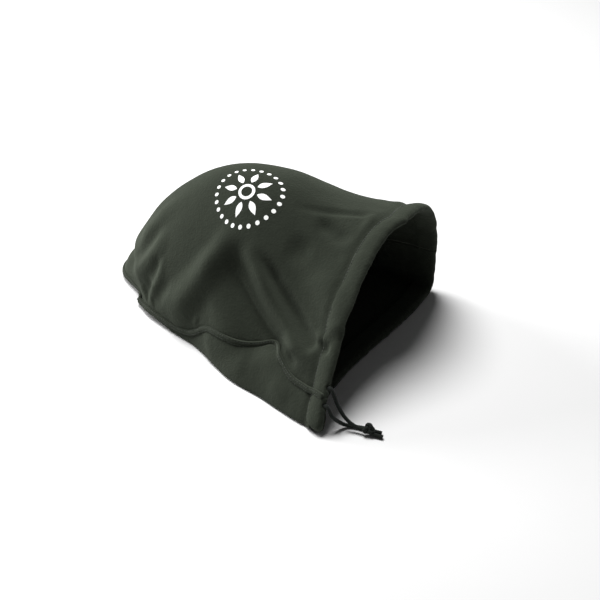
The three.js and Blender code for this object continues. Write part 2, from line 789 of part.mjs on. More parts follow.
function lineLength(line) {
  return line.slice(1).reduce((sum, s, i) => sum + s.point.distanceTo(line[i].point), 0);
}

const upperExit = stationAt(upperLine, EXIT_OFFSET);
const lowerExit = stationAt(lowerLine, lineLength(lowerLine) - EXIT_OFFSET);

const HOLE = CORD + 3 * GAP;

// The hole in the mouth's edge through which the drawcord leaves the tunnel
function exitHole(station) {
  return cordTube([0, 10, 21].map((distance) => hemSpot(station, distance, 0)), HOLE, 2);
}

// Routes of the two free ends of the drawcord, from inside the tunnel down to the floor and to the knot
const UPPER_ROUTE = [
  [205, -145, 36], [213, -145.5, 23], [222, -144.5, 13], [233, -144, 8], [243, -143.5, 7.5],
];
const LOWER_ROUTE = [
  [204, -157, 24], [210, -148, 11], [217, -141.5, 4], [227, -138, 3], [241, -137, 4.6],
];
const KNOT_MIDDLE = [248.5, -140.5, 7.4];
const KNOT_SIZE = [17, 17, 14.4];
const TAIL_ROUTES = [
  [[251, -138, 5.2], [256, -136, 3.6], [262.5, -134.5, 2.7]],
  [[251, -143.5, 5.2], [257, -142.5, 3.6], [266.5, -141.5, 2.7]],
];

const vectors = (rows) => rows.map((row) => new THREE.Vector3(...row));

function strandRoute(exit, route) {
  const inTunnel = [CORD_SPOT - CORD / 2, 10, 15].map((distance) => hemSpot(exit, distance, 0));
  return [...inTunnel, ...vectors(route)];
}

function cordInHem() {
  const lead = CORD / 2 + GAP;
  const start = stationAt(upperLine, EXIT_OFFSET + lead);
  const end = stationAt(lowerLine, lineLength(lowerLine) - EXIT_OFFSET - lead);
  const between = [
    start,
    ...upperLine.slice(start.next + 1, -1),
    ...lowerLine.slice(1, end.next - 1),
    end,
  ];
  const sides = [0, 1, 2, 3, 4, 5, 6, 7].map((k) => (k * Math.PI) / 4);
  const reach = CORD / 2;
  return bar(between.map((s) => sides.map((angle) => (
    hemSpot(s, CORD_SPOT + reach * Math.cos(angle), reach * Math.sin(angle))
  )).reverse()));
}

function knotBody() {
  const ball = new THREE.SphereGeometry(0.5, 18, 12);
  ball.scale(...KNOT_SIZE);
  ball.translate(...KNOT_MIDDLE);
  return joined(ball);
}

const upperRoute = strandRoute(upperExit, UPPER_ROUTE);
const lowerRoute = strandRoute(lowerExit, LOWER_ROUTE);
const sockets = [
  cordTube(upperRoute, HOLE, 24),
  cordTube(lowerRoute, HOLE, 24),
  ...TAIL_ROUTES.map((route) => cordTube(vectors(route), HOLE, 6)),
];

place('upper_panel', upperPanel(), FLEECE);
place('lower_panel', lowerPanel(), FLEECE_LOWER);
place('side_seam', sideSeam(), THREAD);
place('upper_hem', cut(hem(upperLine), [exitHole(upperExit)]), FLEECE_HEM);
place('lower_hem', cut(hem(lowerLine), [exitHole(lowerExit)]), FLEECE_HEM);
place('drawcord_in_hem', cordInHem(), CORD_LOOK);
place('drawcord_upper_end', cordTube(upperRoute, CORD, 24), CORD_LOOK);
place('drawcord_lower_end', cordTube(lowerRoute, CORD, 24), CORD_LOOK);
place('drawcord_knot', cut(knotBody(), sockets), CORD_LOOK);
TAIL_ROUTES.forEach((route, i) => {
  place(i === 0 ? 'drawcord_tail_a' : 'drawcord_tail_b', cordTube(vectors(route), CORD, 6), CORD_LOOK);
});

export default part;
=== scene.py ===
"""Looks of a fleece drawstring bag for a helmet, lying on its side and open at the mouth.

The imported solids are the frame. The panels, the seam, the hem and the drawcord are made here as finer
meshes on the same form, in metres, with +X out of the mouth, -Y the slack side and +Z up.
"""
import math

import bpy
import bmesh
import numpy as np
from bpy.props import FloatProperty, FloatVectorProperty, IntProperty, PointerProperty
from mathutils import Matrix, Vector


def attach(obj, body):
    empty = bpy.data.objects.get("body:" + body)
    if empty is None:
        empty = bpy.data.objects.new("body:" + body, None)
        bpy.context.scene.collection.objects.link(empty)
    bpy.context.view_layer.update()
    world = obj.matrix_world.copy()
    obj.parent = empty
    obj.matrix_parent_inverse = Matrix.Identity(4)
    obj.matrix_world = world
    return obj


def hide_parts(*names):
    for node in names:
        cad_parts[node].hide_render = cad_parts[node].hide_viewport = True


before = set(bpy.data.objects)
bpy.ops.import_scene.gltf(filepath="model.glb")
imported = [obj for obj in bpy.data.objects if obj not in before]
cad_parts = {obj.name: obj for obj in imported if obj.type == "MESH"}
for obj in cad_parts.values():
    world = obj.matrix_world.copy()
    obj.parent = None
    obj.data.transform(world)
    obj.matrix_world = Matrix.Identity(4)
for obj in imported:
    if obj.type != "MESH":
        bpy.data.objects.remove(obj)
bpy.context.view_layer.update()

bl_info = {
    "name": "Fleece helmet bag",
    "version": (1, 0, 0),
    "blender": (4, 5, 0),
    "location": "View3D > Sidebar > Helmet bag",
    "description": "Dresses the solids of a fleece drawstring bag for a helmet",
    "category": "Object",
}

BODY = "root"

# Ribs of the bag's form, from the mouth to the closed end. The near foot is where the cloth leaves the floor
# on the slack side, the far foot where it does on the tight side, and the crown is the highest point. Lean,
# foot and round shape the curve of a flank as shares of its width or height, skew moves the middle of the
# slack flank along the bag, and lift is how far the feet rise to the closed end's seam, as a share.
RIB_COLUMNS = (
    "near_x", "near_y", "near_lean", "near_foot", "near_round", "near_skew", "lift",
    "crown_x", "crown_y", "crown_z", "far_x", "far_y", "far_lean", "far_foot", "far_round",
)
END_SEAM_HEIGHT = 0.009
RIBS = np.array([
    (0.196, -0.180, 0.10, 0.30, 0.28, -0.019, 0, 0.208, 0.056, 0.194, 0.202, 0.194, -0.06, 0.50, 0.82),
    (0.112, -0.146, 0.14, 0.28, 0.30, -0.004, 0, 0.112, 0.056, 0.188, 0.112, 0.196, -0.06, 0.50, 0.70),
    (0.037, -0.121, 0.12, 0.30, 0.36, 0, 0, 0.018, 0.056, 0.209, 0.025, 0.192, -0.06, 0.50, 0.60),
    (-0.030, -0.080, 0.08, 0.34, 0.42, 0, 0, -0.056, 0.056, 0.201, -0.050, 0.182, -0.05, 0.45, 0.52),
    (-0.086, -0.058, 0.06, 0.34, 0.50, 0, 0.1, -0.130, 0.056, 0.151, -0.096, 0.166, 0, 0.42, 0.50),
    (-0.123, -0.044, 0.24, 0.30, 0.50, 0, 0.75, -0.184, 0.056, 0.078, -0.128, 0.149, 0.24, 0.32, 0.50),
    (-0.151, -0.025, 0.45, 0, 0.60, 0, 1, -0.214, 0.056, END_SEAM_HEIGHT, -0.151, 0.128, 0.45, 0, 0.50),
])
SKEW_LOW, SKEW_HIGH = 0.15, 1.9  # shares of the skew low and high on the flank

# Where the seam runs on the slack and the tight flank, as places around the rib, in equal steps to the end
SEAM_NEAR = (
    0.102, 0.099, 0.098, 0.101, 0.122, 0.144, 0.126, 0.109, 0.099, 0.095, 0.091, 0.080, 0.054, 0.036, 0.031,
    0.029, 0.028, 0.028, 0.028, 0.028, 0.026, 0.023, 0.018, 0.010, 0)
SEAM_FAR = (0.87, 0.872, 0.876, 0.88, 0.886, 0.894, 0.906, 0.92, 0.934, 0.95, 0.966, 0.976, 1)

# Folds: how far each stands out, its half width at both ends, the shares of its length over which it rises
# and dies away, and the places (along, around) that it runs through
FOLDS = (
    ("upper end ridge", 0.004, (0.026, 0.022), (0.4, 0.3),
     ((0.56, 0.42), (0.672, 0.383), (0.743, 0.362), (0.83, 0.345))),
    ("upper end valley", -0.0025, (0.017, 0.020), (0.4, 0.25),
     ((0.66, 0.345), (0.703, 0.325), (0.748, 0.297), (0.86, 0.28))),
    ("waist before the end", -0.010, (0.026, 0.026), (0.25, 0.25),
     ((0.92, 0.24), (0.915, 0.4), (0.915, 0.6), (0.92, 0.8))),
    ("first lobe ridge", 0.004, (0.020, 0.024), (0.35, 0.2),
     ((0.665, 0.335), (0.677, 0.28), (0.735, 0.25), (0.818, 0.238), (0.93, 0.25))),
    ("first lobe valley", -0.003, (0.014, 0.021), (0.4, 0.15),
     ((0.672, 0.262), (0.685, 0.225), (0.74, 0.185), (0.8, 0.16), (0.88, 0.135))),
    ("lobe overlap", 0.002, (0.013, 0.015), (0.35, 0.15),
     ((0.668, 0.273), (0.668, 0.223), (0.682, 0.188), (0.728, 0.14), (0.805, 0.105))),
    ("notch", -0.004, (0.019, 0.021), (0.5, 0.1), ((0.74, 0.17), (0.79, 0.14), (0.85, 0.1))),
    ("pocket", -0.0025, (0.014, 0.021), (0.4, 0.1),
     ((0.62, 0.19), (0.65, 0.15), (0.7, 0.115), (0.775, 0.08))),
    ("second lobe ridge", 0.011, (0.026, 0.046), (0.35, 0.3),
     ((0.39, 0.33), (0.408, 0.295), (0.435, 0.25), (0.468, 0.215), (0.503, 0.175), (0.55, 0.133),
      (0.61, 0.085), (0.657, 0.048))),
    ("slack facet", -0.018, (0.028, 0.092), (0.45, 0.14),
     ((0.435, 0.3), (0.395, 0.25), (0.335, 0.21), (0.27, 0.165), (0.215, 0.1))),
    ("foot of the slack ridge", -0.0045, (0.010, 0.011), (0.25, 0.15),
     ((0.415, 0.235), (0.36, 0.21), (0.312, 0.19), (0.27, 0.173), (0.228, 0.155), (0.195, 0.147),
      (0.143, 0.138), (0.107, 0.128))),
    ("slack ridge", 0.012, (0.020, 0.028), (0.3, 0.4),
     ((0.365, 0.288), (0.328, 0.268), (0.28, 0.242), (0.242, 0.217), (0.203, 0.195), (0.158, 0.175),
      (0.118, 0.16), (0.08, 0.143), (0.04, 0.125))),
    ("slack valley", -0.009, (0.016, 0.020), (0.25, 0.12),
     ((0.325, 0.3), (0.263, 0.27), (0.225, 0.247), (0.177, 0.222), (0.143, 0.205),
      (0.107, 0.185), (0.068, 0.17))),
    ("swell by the mouth", 0.006, (0.034, 0.036), (0.3, 0.2), ((0.17, 0.32), (0.059, 0.262), (0, 0.21))),
    ("dent below the crown", -0.006, (0.020, 0.020), (0.35, 0.35),
     ((0.2, 0.41), (0.165, 0.413), (0.122, 0.4), (0.07, 0.39))),
    ("dent on the flank", -0.005, (0.030, 0.030), (0.45, 0.45),
     ((0.25, 0.325), (0.205, 0.333), (0.16, 0.343))),
    ("crown crease", -0.003, (0.011, 0.011), (0.4, 0.3), ((0.27, 0.42), (0.151, 0.472), (0.07, 0.5))),
    ("ridge behind the hem", 0.003, (0.014, 0.014), (0.4, 0.4), ((0.09, 0.53), (0.07, 0.46), (0.058, 0.4))),
    ("crease at the seam", 0.0012, (0.007, 0.007), (0.4, 0.4), ((0.49, 0.105), (0.5, 0.085), (0.515, 0.06))),
    ("pinch behind the hem", 0.004, (0.018, 0.018), (0.5, 0.5), ((0.05, 0.22), (0.062, 0.2), (0.062, 0.183))),
    ("pinch in the hem", -0.005, (0.013, 0.013), (0.5, 0.5), ((0.062, 0.178), (0.04, 0.184), (0.018, 0.188))),
    ("ridge below the seam", 0.002, (0.018, 0.018), (0.3, 0.4),
     ((0.445, 0.08), (0.43, 0.06), (0.413, 0.04), (0.38, 0.015))),
    ("hollow below the seam", -0.003, (0.024, 0.030), (0.4, 0.4),
     ((0.3, 0.075), (0.25, 0.08), (0.18, 0.085))),
    ("swell below the seam", 0.003, (0.024, 0.024), (0.4, 0.4), ((0.19, 0.06), (0.15, 0.055), (0.1, 0.05))),
)
FOLD_SAMPLES = 24
END_CALM = 0.16  # share of the length next to the closed end over which the folds die away

# The drawcord's two free ends, from the hem to the knot, and the tails beyond it
UPPER_ROUTE = (
    (0.205, -0.145, 0.036), (0.213, -0.1455, 0.023), (0.222, -0.1445, 0.013), (0.233, -0.144, 0.008),
    (0.243, -0.1435, 0.0075),
)
LOWER_ROUTE = (
    (0.204, -0.157, 0.024), (0.210, -0.148, 0.011), (0.217, -0.1415, 0.004), (0.227, -0.138, 0.003),
    (0.241, -0.137, 0.0046),
)
KNOT_MIDDLE = np.array((0.2485, -0.1405, 0.0074))
TAIL_ROUTES = (
    ((0.251, -0.138, 0.0052), (0.256, -0.136, 0.0036), (0.2625, -0.1345, 0.0027)),
    ((0.251, -0.1435, 0.0052), (0.257, -0.1425, 0.0036), (0.2665, -0.1415, 0.0027)),
)
EXIT_OFFSET = 0.012  # how far from the seam each end of the cord leaves the hem
CORD_SPOT = 0.005  # how far the cord lies from the tunnel's middle towards the mouth


class BagSizes(bpy.types.PropertyGroup):
    """Sizes of the bag's cloth, sewing and cord"""

    cloth: FloatProperty(
        name="Fleece", description="Thickness of the fleece", default=0.0022, unit="LENGTH")
    seam_width: FloatProperty(
        name="Seam width", description="Width of the topstitched seam", default=0.0084, unit="LENGTH")
    seam_rise: FloatProperty(
        name="Seam rise", description="How far the seam stands above the panels", default=0.0018,
        unit="LENGTH")
    hem_width: FloatProperty(
        name="Hem width", description="From the hem's stitching to the mouth's edge", default=0.028,
        unit="LENGTH")
    hem_thick: FloatProperty(
        name="Hem thickness", description="Thickness of the filled tunnel", default=0.011, unit="LENGTH")
    hem_proud: FloatProperty(
        name="Hem proud", description="How far the hem stands out from the panels", default=0.003,
        unit="LENGTH")
    stitch_pitch: FloatProperty(
        name="Stitch pitch", description="Distance from one stitch to the next", default=0.0042,
        unit="LENGTH")
    cord: FloatProperty(
        name="Cord", description="Diameter of the drawcord", default=0.005, unit="LENGTH")
    grid_along: IntProperty(
        name="Rows", description="Rows of the panels' meshes", default=170, min=20)
    grid_around: IntProperty(
        name="Columns", description="Columns of the upper panel's mesh", default=230, min=40)


class BagColours(bpy.types.PropertyGroup):
    """Colours of the bag's cloth, thread and cord"""

    fleece: FloatVectorProperty(
        name="Fleece", description="Faded black of the upper panel", subtype="COLOR", size=3,
        default=(0.0127, 0.0152, 0.0109))
    fleece_lower: FloatVectorProperty(
        name="Lower fleece", description="Faded black of the lower panel", subtype="COLOR", size=3,
        default=(0.0127, 0.0152, 0.0109))
    thread: FloatVectorProperty(
        name="Thread", description="Sewing thread", subtype="COLOR", size=3,
        default=(0.040, 0.045, 0.038))
    cord: FloatVectorProperty(
        name="Cord", description="Braided drawcord", subtype="COLOR", size=3,
        default=(0.0085, 0.011, 0.009))
    ink: FloatVectorProperty(
        name="Print", description="Printed ornament", subtype="COLOR", size=3,
        default=(0.82, 0.83, 0.81))


# Surface of the bag

TINY = 1e-12  # keeps divisions by a length from failing


def unit(vectors):
    return vectors / np.maximum(np.linalg.norm(vectors, axis=-1, keepdims=True), TINY)


def dot(a, b):
    return np.sum(a * b, axis=-1, keepdims=True)


def ramp(x, length):
    """Rises smoothly from 0 to 1 over the length"""
    t = np.clip(x / length, 0, 1)
    return t * t * (3 - 2 * t)


def mix(a, b, share):
    return a + (b - a) * share


def extended(values):
    """Values with one more at both ends, in line with the last two"""
    return np.concatenate(([2 * values[0] - values[1]], values, [2 * values[-1] - values[-2]]))


def spline(values, share):
    """Smooth curve through equally spaced values, by the Catmull-Rom rule"""
    values = np.asarray(values, float)
    last = len(values) - 1
    place = np.clip(share, 0, 1) * last
    i = np.minimum(place.astype(int), last - 1)
    f = place - i
    ends = extended(values)
    a, b, c, d = (ends[i + k] for k in range(4))
    return b + 0.5 * f * (c - a + f * (2 * a - 5 * b + 4 * c - d + f * (3 * (b - c) + d - a)))


def form(along, around):
    """The bag's form without its folds"""
    along, around = np.broadcast_arrays(np.asarray(along, float), np.asarray(around, float))
    rib = {name: spline(RIBS[:, k], along) for k, name in enumerate(RIB_COLUMNS)}
    foot = np.maximum(0, rib["lift"] * END_SEAM_HEIGHT)
    near = np.stack((rib["near_x"], rib["near_y"], foot), -1)
    far = np.stack((rib["far_x"], rib["far_y"], foot), -1)
    crown = np.stack((rib["crown_x"], rib["crown_y"], rib["crown_z"]), -1)
    chord = far - near
    below = near + chord * dot(crown - near, chord) / dot(chord, chord)
    rise = crown - below
    slack = (around <= 0.5)[..., None]
    start = np.where(slack, near, far)
    inward = below - start

    def side(name):
        return np.where(slack, rib["near_" + name][..., None], rib["far_" + name][..., None])

    skew = np.where(slack, rib["near_skew"][..., None], 0) * np.array((1.0, 0, 0))
    low = start + skew * SKEW_LOW + inward * side("lean") + rise * side("foot")
    high = crown + skew * SKEW_HIGH - inward * side("round")
    t = (2 * np.minimum(around, 1 - around))[..., None]
    s = 1 - t
    return start * s ** 3 + low * 3 * s * s * t + high * 3 * s * t * t + crown * t ** 3


NORMAL_STEP = 0.004  # share of the form over which its outward direction is taken
NORMAL_ALONG = (NORMAL_STEP, 0.988)  # stretches along and around the form where that is done
NORMAL_AROUND = (0.006, 0.994)


def normal_of(surface, along, around):
    """Outward direction of a surface"""
    u = np.clip(along, *NORMAL_ALONG)
    v = np.clip(around, *NORMAL_AROUND)
    lengthwise = surface(u + NORMAL_STEP, v) - surface(u - NORMAL_STEP, v)
    crosswise = surface(u, v + NORMAL_STEP) - surface(u, v - NORMAL_STEP)
    return unit(np.cross(crosswise, lengthwise))


def fold_line(path):
    share = np.linspace(0, 1, FOLD_SAMPLES + 1)
    alongs, arounds = np.array(path).T
    return form(spline(alongs, share), spline(arounds, share))


def nearest_on(line, points):
    """Distance of each point from a line of points, and the share of the line where it is nearest"""
    best = np.full(len(points), np.inf)
    share = np.zeros(len(points))
    for i, (a, b) in enumerate(zip(line[:-1], line[1:])):
        step = b - a
        f = np.clip((points - a) @ step / max(step @ step, TINY), 0, 1)
        distance = np.linalg.norm(points - a - f[:, None] * step, axis=1)
        closer = distance < best
        best[closer] = distance[closer]
        share[closer] = (i + f[closer]) / (len(line) - 1)
    return best, share


def fold_lift(points):
    """How far the folds lift the cloth off the form"""
    total = np.zeros(len(points))
    for _, lift, wide, fade, path in FOLDS:
        line = fold_line(path)
        margin = max(wide)
        close = np.all((points > line.min(0) - margin) & (points < line.max(0) + margin), axis=1)
        if not close.any():
            continue
        distance, share = nearest_on(line, points[close])
        x = np.minimum(1, distance / mix(wide[0], wide[1], share))
        strength = ramp(share, fade[0]) * ramp(1 - share, fade[1])
        total[close] += lift * (1 - x * x) ** 3 * strength
    return total


def kept_above(points, height=0):
    """Raises what lies below a height up to it"""
    points[..., 2] = np.maximum(height, points[..., 2])
    return points


def cloth(along, around):
    """Outer face of the cloth with its folds"""
    points = form(along, around)
    lift = fold_lift(points.reshape(-1, 3)).reshape(points.shape[:-1]) * ramp(1 - along, END_CALM)
    return kept_above(points + normal_of(form, along, around) * lift[..., None])


NOISE_TABLE = 4096
NOISE_KEYS = np.array((73, 179, 283))  # whole numbers that spread the lattice's corners over the table


def uneven(points, height, cell, seed):
    """Smooth random heights over a lattice of cells"""
    table = np.random.default_rng(seed).uniform(-1, 1, NOISE_TABLE)
    place = np.asarray(points) / cell
    base = np.floor(place).astype(int)
    f = place - base
    f = f * f * (3 - 2 * f)
    total = 0
    for corner in np.ndindex(2, 2, 2):
        key = (base + np.array(corner)) @ NOISE_KEYS % NOISE_TABLE
        weight = np.prod(np.where(np.array(corner) == 1, f, 1 - f), axis=-1)
        total = total + table[key] * weight
    return height * total


MOUTH_STEP = 0.02  # share of the length next to the mouth over which lengths are measured


def mouth_run(around):
    """Length of the form's first stretch behind the mouth"""
    return np.linalg.norm(form(MOUTH_STEP, around) - form(0, around), axis=-1)


def hem_share(around, distance):
    """Share of the length that lies a distance behind the mouth's edge"""
    return distance * MOUTH_STEP / mouth_run(around)


def seam_places(along):
    return spline(SEAM_NEAR, along), spline(SEAM_FAR, along)


GROOVE = (0.0026, 0.0065)  # depth and width of the cloth's draw at the hem's stitching
SEAM_DRAW = (0.0012, 0.005)  # depth and width of its draw beside the seam
PUCKERS = (0.0007, 0.013, 3)  # height, length and seed of the ripples beside stitching
PUCKER_REACH = 0.020
HEM_PUCKERS = (0.012, 1.2)  # how far behind the hem its ripples are highest, and by what factor
UNEVENNESS = ((0.0009, 0.042, 5), (0.00022, 0.017, 7))  # height, length and seed of the cloth's waves
END_FLAT = 0.04  # share of the length next to the closed end over which all of these die away
MEASURE_STEP = 0.01  # share of the form over which lengths on it are measured


def fleece(along, around, hem_width):
    """Outer face of a panel, with the draw of its stitching and its finer unevenness"""
    points = cloth(along, around)
    after, before = (form(along, np.clip(around + step, 0, 1)) for step in (MEASURE_STEP, -MEASURE_STEP))
    crosswise = np.linalg.norm(after - before, axis=-1) / (2 * MEASURE_STEP)
    near_seam, far_seam = seam_places(along)
    from_seam = np.minimum(around - near_seam, far_seam - around) * crosswise
    from_hem = along * (mouth_run(around) / MOUTH_STEP) - hem_width
    drop = -GROOVE[0] * np.exp(-(from_hem / GROOVE[1]) ** 2)
    drop -= SEAM_DRAW[0] * np.exp(-(from_seam / SEAM_DRAW[1]) ** 2)
    ripple = uneven(points, *PUCKERS)
    drop += ripple * np.exp(-np.abs(from_hem - HEM_PUCKERS[0]) / PUCKER_REACH) * HEM_PUCKERS[1]
    drop += ripple * np.exp(-np.abs(from_seam) / PUCKER_REACH)
    for wave in UNEVENNESS:
        drop += uneven(points, *wave)
    drop *= ramp(1 - along, END_FLAT)
    return kept_above(points + normal_of(form, along, around) * drop[..., None])


# Meshes

MERGE = 1e-6  # points closer than this are one


def mend(mesh, distance):
    """Merges doubled points and turns the faces outwards"""
    build = bmesh.new()
    build.from_mesh(mesh)
    bmesh.ops.remove_doubles(build, verts=build.verts, dist=distance)
    bmesh.ops.dissolve_degenerate(build, edges=build.edges, dist=distance)
    bmesh.ops.recalc_face_normals(build, faces=build.faces)
    build.to_mesh(mesh)
    build.free()


def new_object(name, data):
    made = bpy.data.objects.new(name, data)
    bpy.context.scene.collection.objects.link(made)
    return made


def new_piece(name, points, faces, material, slot, replaced=(), merge=MERGE):
    """A smooth mesh at the origin that rides on the bag and stands for CAD nodes"""
    mesh = bpy.data.meshes.new(name)
    mesh.from_pydata(np.asarray(points).reshape(-1, 3).tolist(), [], faces)
    mesh.validate()
    if merge:
        mend(mesh, merge)
    mesh.polygons.foreach_set("use_smooth", np.ones(len(mesh.polygons), bool))
    mesh.materials.append(material)
    piece = new_object(name, mesh)
    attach(piece, BODY)
    if replaced:
        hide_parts(*replaced)
    return piece


def grid_faces(rows, columns, first=0, loop=False, flip=False):
    """Quads over a grid of points in rows"""
    faces = []
    for i in range(rows - 1):
        for j in range(columns if loop else columns - 1):
            k = (j + 1) % columns
            quad = (first + i * columns + j, first + i * columns + k,
                    first + (i + 1) * columns + k, first + (i + 1) * columns + j)
            faces.append(quad[::-1] if flip else quad)
    return faces


def border_faces(rows, columns, count):
    """Quads that join the border of an outer grid to the border of the inner grid behind it"""
    ring = [(0, j) for j in range(columns)]
    ring += [(i, columns - 1) for i in range(1, rows)]
    ring += [(rows - 1, j) for j in range(columns - 2, -1, -1)]
    ring += [(i, 0) for i in range(rows - 2, 0, -1)]
    index = [i * columns + j for i, j in ring]
    return [(b, a, a + count, b + count) for a, b in zip(index, index[1:] + index[:1])]


def grid_normals(points):
    """Outward directions of a grid whose rows go to the closed end and whose columns go around"""
    return unit(np.cross(np.gradient(points, axis=1), np.gradient(points, axis=0)))


def inner_face(points, thickness):
    """Grid of a sheet's inner face, from the grid of its outer face"""
    return kept_above(points - grid_normals(points) * thickness, thickness)


def thick_sheet(points, thickness):
    """Points and faces of a sheet with thickness, from the grid of its outer face"""
    rows, columns, _ = points.shape
    count = rows * columns
    faces = grid_faces(rows, columns)
    faces += grid_faces(rows, columns, first=count, flip=True)
    faces += border_faces(rows, columns, count)
    return np.concatenate((points.reshape(-1, 3), inner_face(points, thickness).reshape(-1, 3))), faces


def tube_faces(rings, sides):
    """Quads of a tube through rings, closed by a cap at both ends"""
    faces = grid_faces(rings, sides, loop=True)
    faces.append(tuple(range(sides))[::-1])
    faces.append(tuple((rings - 1) * sides + k for k in range(sides)))
    return faces


def tube_piece(name, rings, material, slot, node):
    """A piece from the rings of a closed tube"""
    count, sides, _ = rings.shape
    return new_piece(name, rings, tube_faces(count, sides), material, slot, [node])


def turns(count):
    """Equal angles once round"""
    return np.linspace(0, 2 * math.pi, count, endpoint=False)


def run_lengths(points):
    """Length of a line of points up to each of them"""
    return np.concatenate(([0], np.cumsum(np.linalg.norm(np.diff(points, axis=0), axis=1))))


def interpolated(places, known, values):
    """Values at places along a line, from the values at known places"""
    return np.stack([np.interp(places, known, column) for column in values.T], 1)


def resampled(points, step):
    """Points at equal steps along a line, with the share of each on the old line"""
    lengths = run_lengths(points)
    places = np.linspace(0, lengths[-1], max(2, int(round(lengths[-1] / step)) + 1))
    return interpolated(places, lengths, points), places / lengths[-1]


def softened(values, spread):
    """Values along a line averaged over a spread of steps, with the ends kept"""
    reach = int(3 * spread)
    weights = np.exp(-0.5 * (np.arange(-reach, reach + 1) / spread) ** 2)
    weights /= weights.sum()
    first, last = values[:1], values[-1:]
    padded = np.concatenate((2 * first - values[reach:0:-1], values, 2 * last - values[-2:-reach - 2:-1]))
    return np.stack([np.convolve(padded[:, k], weights, "valid") for k in range(values.shape[1])], 1)


CURVE_POINTS = 24  # between two points of a route


def smooth_path(points, step):
    """A smooth curve through points by the centripetal Catmull-Rom rule, at equal steps"""
    points = extended(np.asarray(points, float))
    fine = []
    for a, b, c, d in zip(points[:-3], points[1:-2], points[2:-1], points[3:]):
        ab, bc, cd = (max(np.linalg.norm(q - p) ** 0.5, TINY) for p, q in ((a, b), (b, c), (c, d)))
        leave = ((b - a) / ab - (c - a) / (ab + bc) + (c - b) / bc) * bc
        reach = ((c - b) / bc - (d - b) / (bc + cd) + (d - c) / cd) * bc
        t = np.linspace(0, 1, CURVE_POINTS, endpoint=False)[:, None]
        fine.append(b + leave * t + (3 * (c - b) - 2 * leave - reach) * t ** 2
                    + (2 * (b - c) + leave + reach) * t ** 3)
    fine.append(points[-2:-1])
    return resampled(np.concatenate(fine), step)[0]


LEAST_SLANT = 0.1  # sine of the slant below which a path counts as upright


def path_frames(path):
    """Two square directions across a path at each of its points, without twist"""
    tangent = unit(np.gradient(path, axis=0))
    side = np.cross(tangent[0], (0.0, 0, 1))
    if np.linalg.norm(side) <= LEAST_SLANT:
        side = np.cross(tangent[0], (0.0, 1, 0))
    sides = []
    for t in tangent:
        side = side - t * (side @ t)
        side = side / np.linalg.norm(side)
        sides.append(side)
    return np.array(sides), np.cross(tangent, sides)


BRAID_STRANDS = 8
BRAID_PITCH = 0.011  # length in which a strand goes once round the cord
BRAID_DEPTH = 0.00022
CORD_SIDES = 24
CORD_CLEARANCE = 0.0003  # between the cord and the floor


def braided_tube(path, diameter):
    """Rings of a cord whose surface is braided from strands that go round it both ways"""
    side, up = path_frames(path)
    angle = turns(CORD_SIDES)
    turn = (2 * math.pi / BRAID_PITCH) * run_lengths(path)[:, None]
    half = BRAID_STRANDS / 2
    weave = np.abs(np.cos(half * (angle - turn) / 2)) * np.abs(np.cos(half * (angle + turn) / 2))
    radius = diameter / 2 - BRAID_DEPTH + 2 * BRAID_DEPTH * weave
    spokes = np.cos(angle)[:, None] * side[:, None] + np.sin(angle)[:, None] * up[:, None]
    return kept_above(path[:, None] + radius[..., None] * spokes, CORD_CLEARANCE)


# Materials

class Value:
    """A socket of a shader, with arithmetic that adds Math nodes"""

    def __init__(self, shader, socket):
        self.shader = shader
        self.socket = socket

    def _math(self, operation, a, b):
        return self.shader.node("ShaderNodeMath", {"operation": operation}, {0: a, 1: b})

    def __add__(self, other):
        return self._math("ADD", self, other)

    def __radd__(self, other):
        return self._math("ADD", other, self)

    def __mul__(self, other):
        return self._math("MULTIPLY", self, other)

    def __rmul__(self, other):
        return self._math("MULTIPLY", other, self)


class Shader:
    """A material with one Principled shader"""

    def __init__(self, name):
        self.material = bpy.data.materials.new(name)
        self.material.use_nodes = True
        self.tree = self.material.node_tree
        self.tree.nodes.clear()
        self.principled = self.tree.nodes.new("ShaderNodeBsdfPrincipled")
        output = self.tree.nodes.new("ShaderNodeOutputMaterial")
        self.tree.links.new(self.principled.outputs["BSDF"], output.inputs["Surface"])
        self.place = self.node("ShaderNodeTexCoord", output="Object")

    def node(self, kind, settings=None, values=None, output=0):
        """Adds a node, sets it up, fills its sockets and gives one output back"""
        node = self.tree.nodes.new(kind)
        for key, setting in (settings or {}).items():
            setattr(node, key, setting)
        for key, value in (values or {}).items():
            self._fill(node.inputs[key], value)
        return Value(self, node.outputs[output])

    def _fill(self, socket, value):
        if isinstance(value, Value):
            self.tree.links.new(value.socket, socket)
        else:
            socket.default_value = value

    def set(self, **sockets):
        """Fills sockets of the Principled shader, named with underscores for spaces"""
        for key, value in sockets.items():
            self._fill(self.principled.inputs[key.replace("_", " ")], value)

    def noise(self, scale, detail, roughness):
        return self.node("ShaderNodeTexNoise", None, {
            "Vector": self.place, "Scale": scale, "Detail": detail, "Roughness": roughness})

    def blend(self, factor, a, b):
        return self.node("ShaderNodeMix", {"data_type": "RGBA"}, {0: factor, 6: a, 7: b}, output=2)

    def spread(self, value, low, high):
        """Stretches a value so that low becomes 0 and high becomes 1"""
        return self.node("ShaderNodeMapRange", None, {0: value, 1: low, 2: high, 3: 0.0, 4: 1.0})

    def bump(self, height, strength, distance):
        return self.node("ShaderNodeBump", None, {
            "Height": height, "Strength": strength, "Distance": distance})


def shade(colour, factor):
    return tuple(min(1.0, c * factor) for c in colour) + (1.0,)


FLEECE_SHEEN = (0.6, 0.68, 0.54)


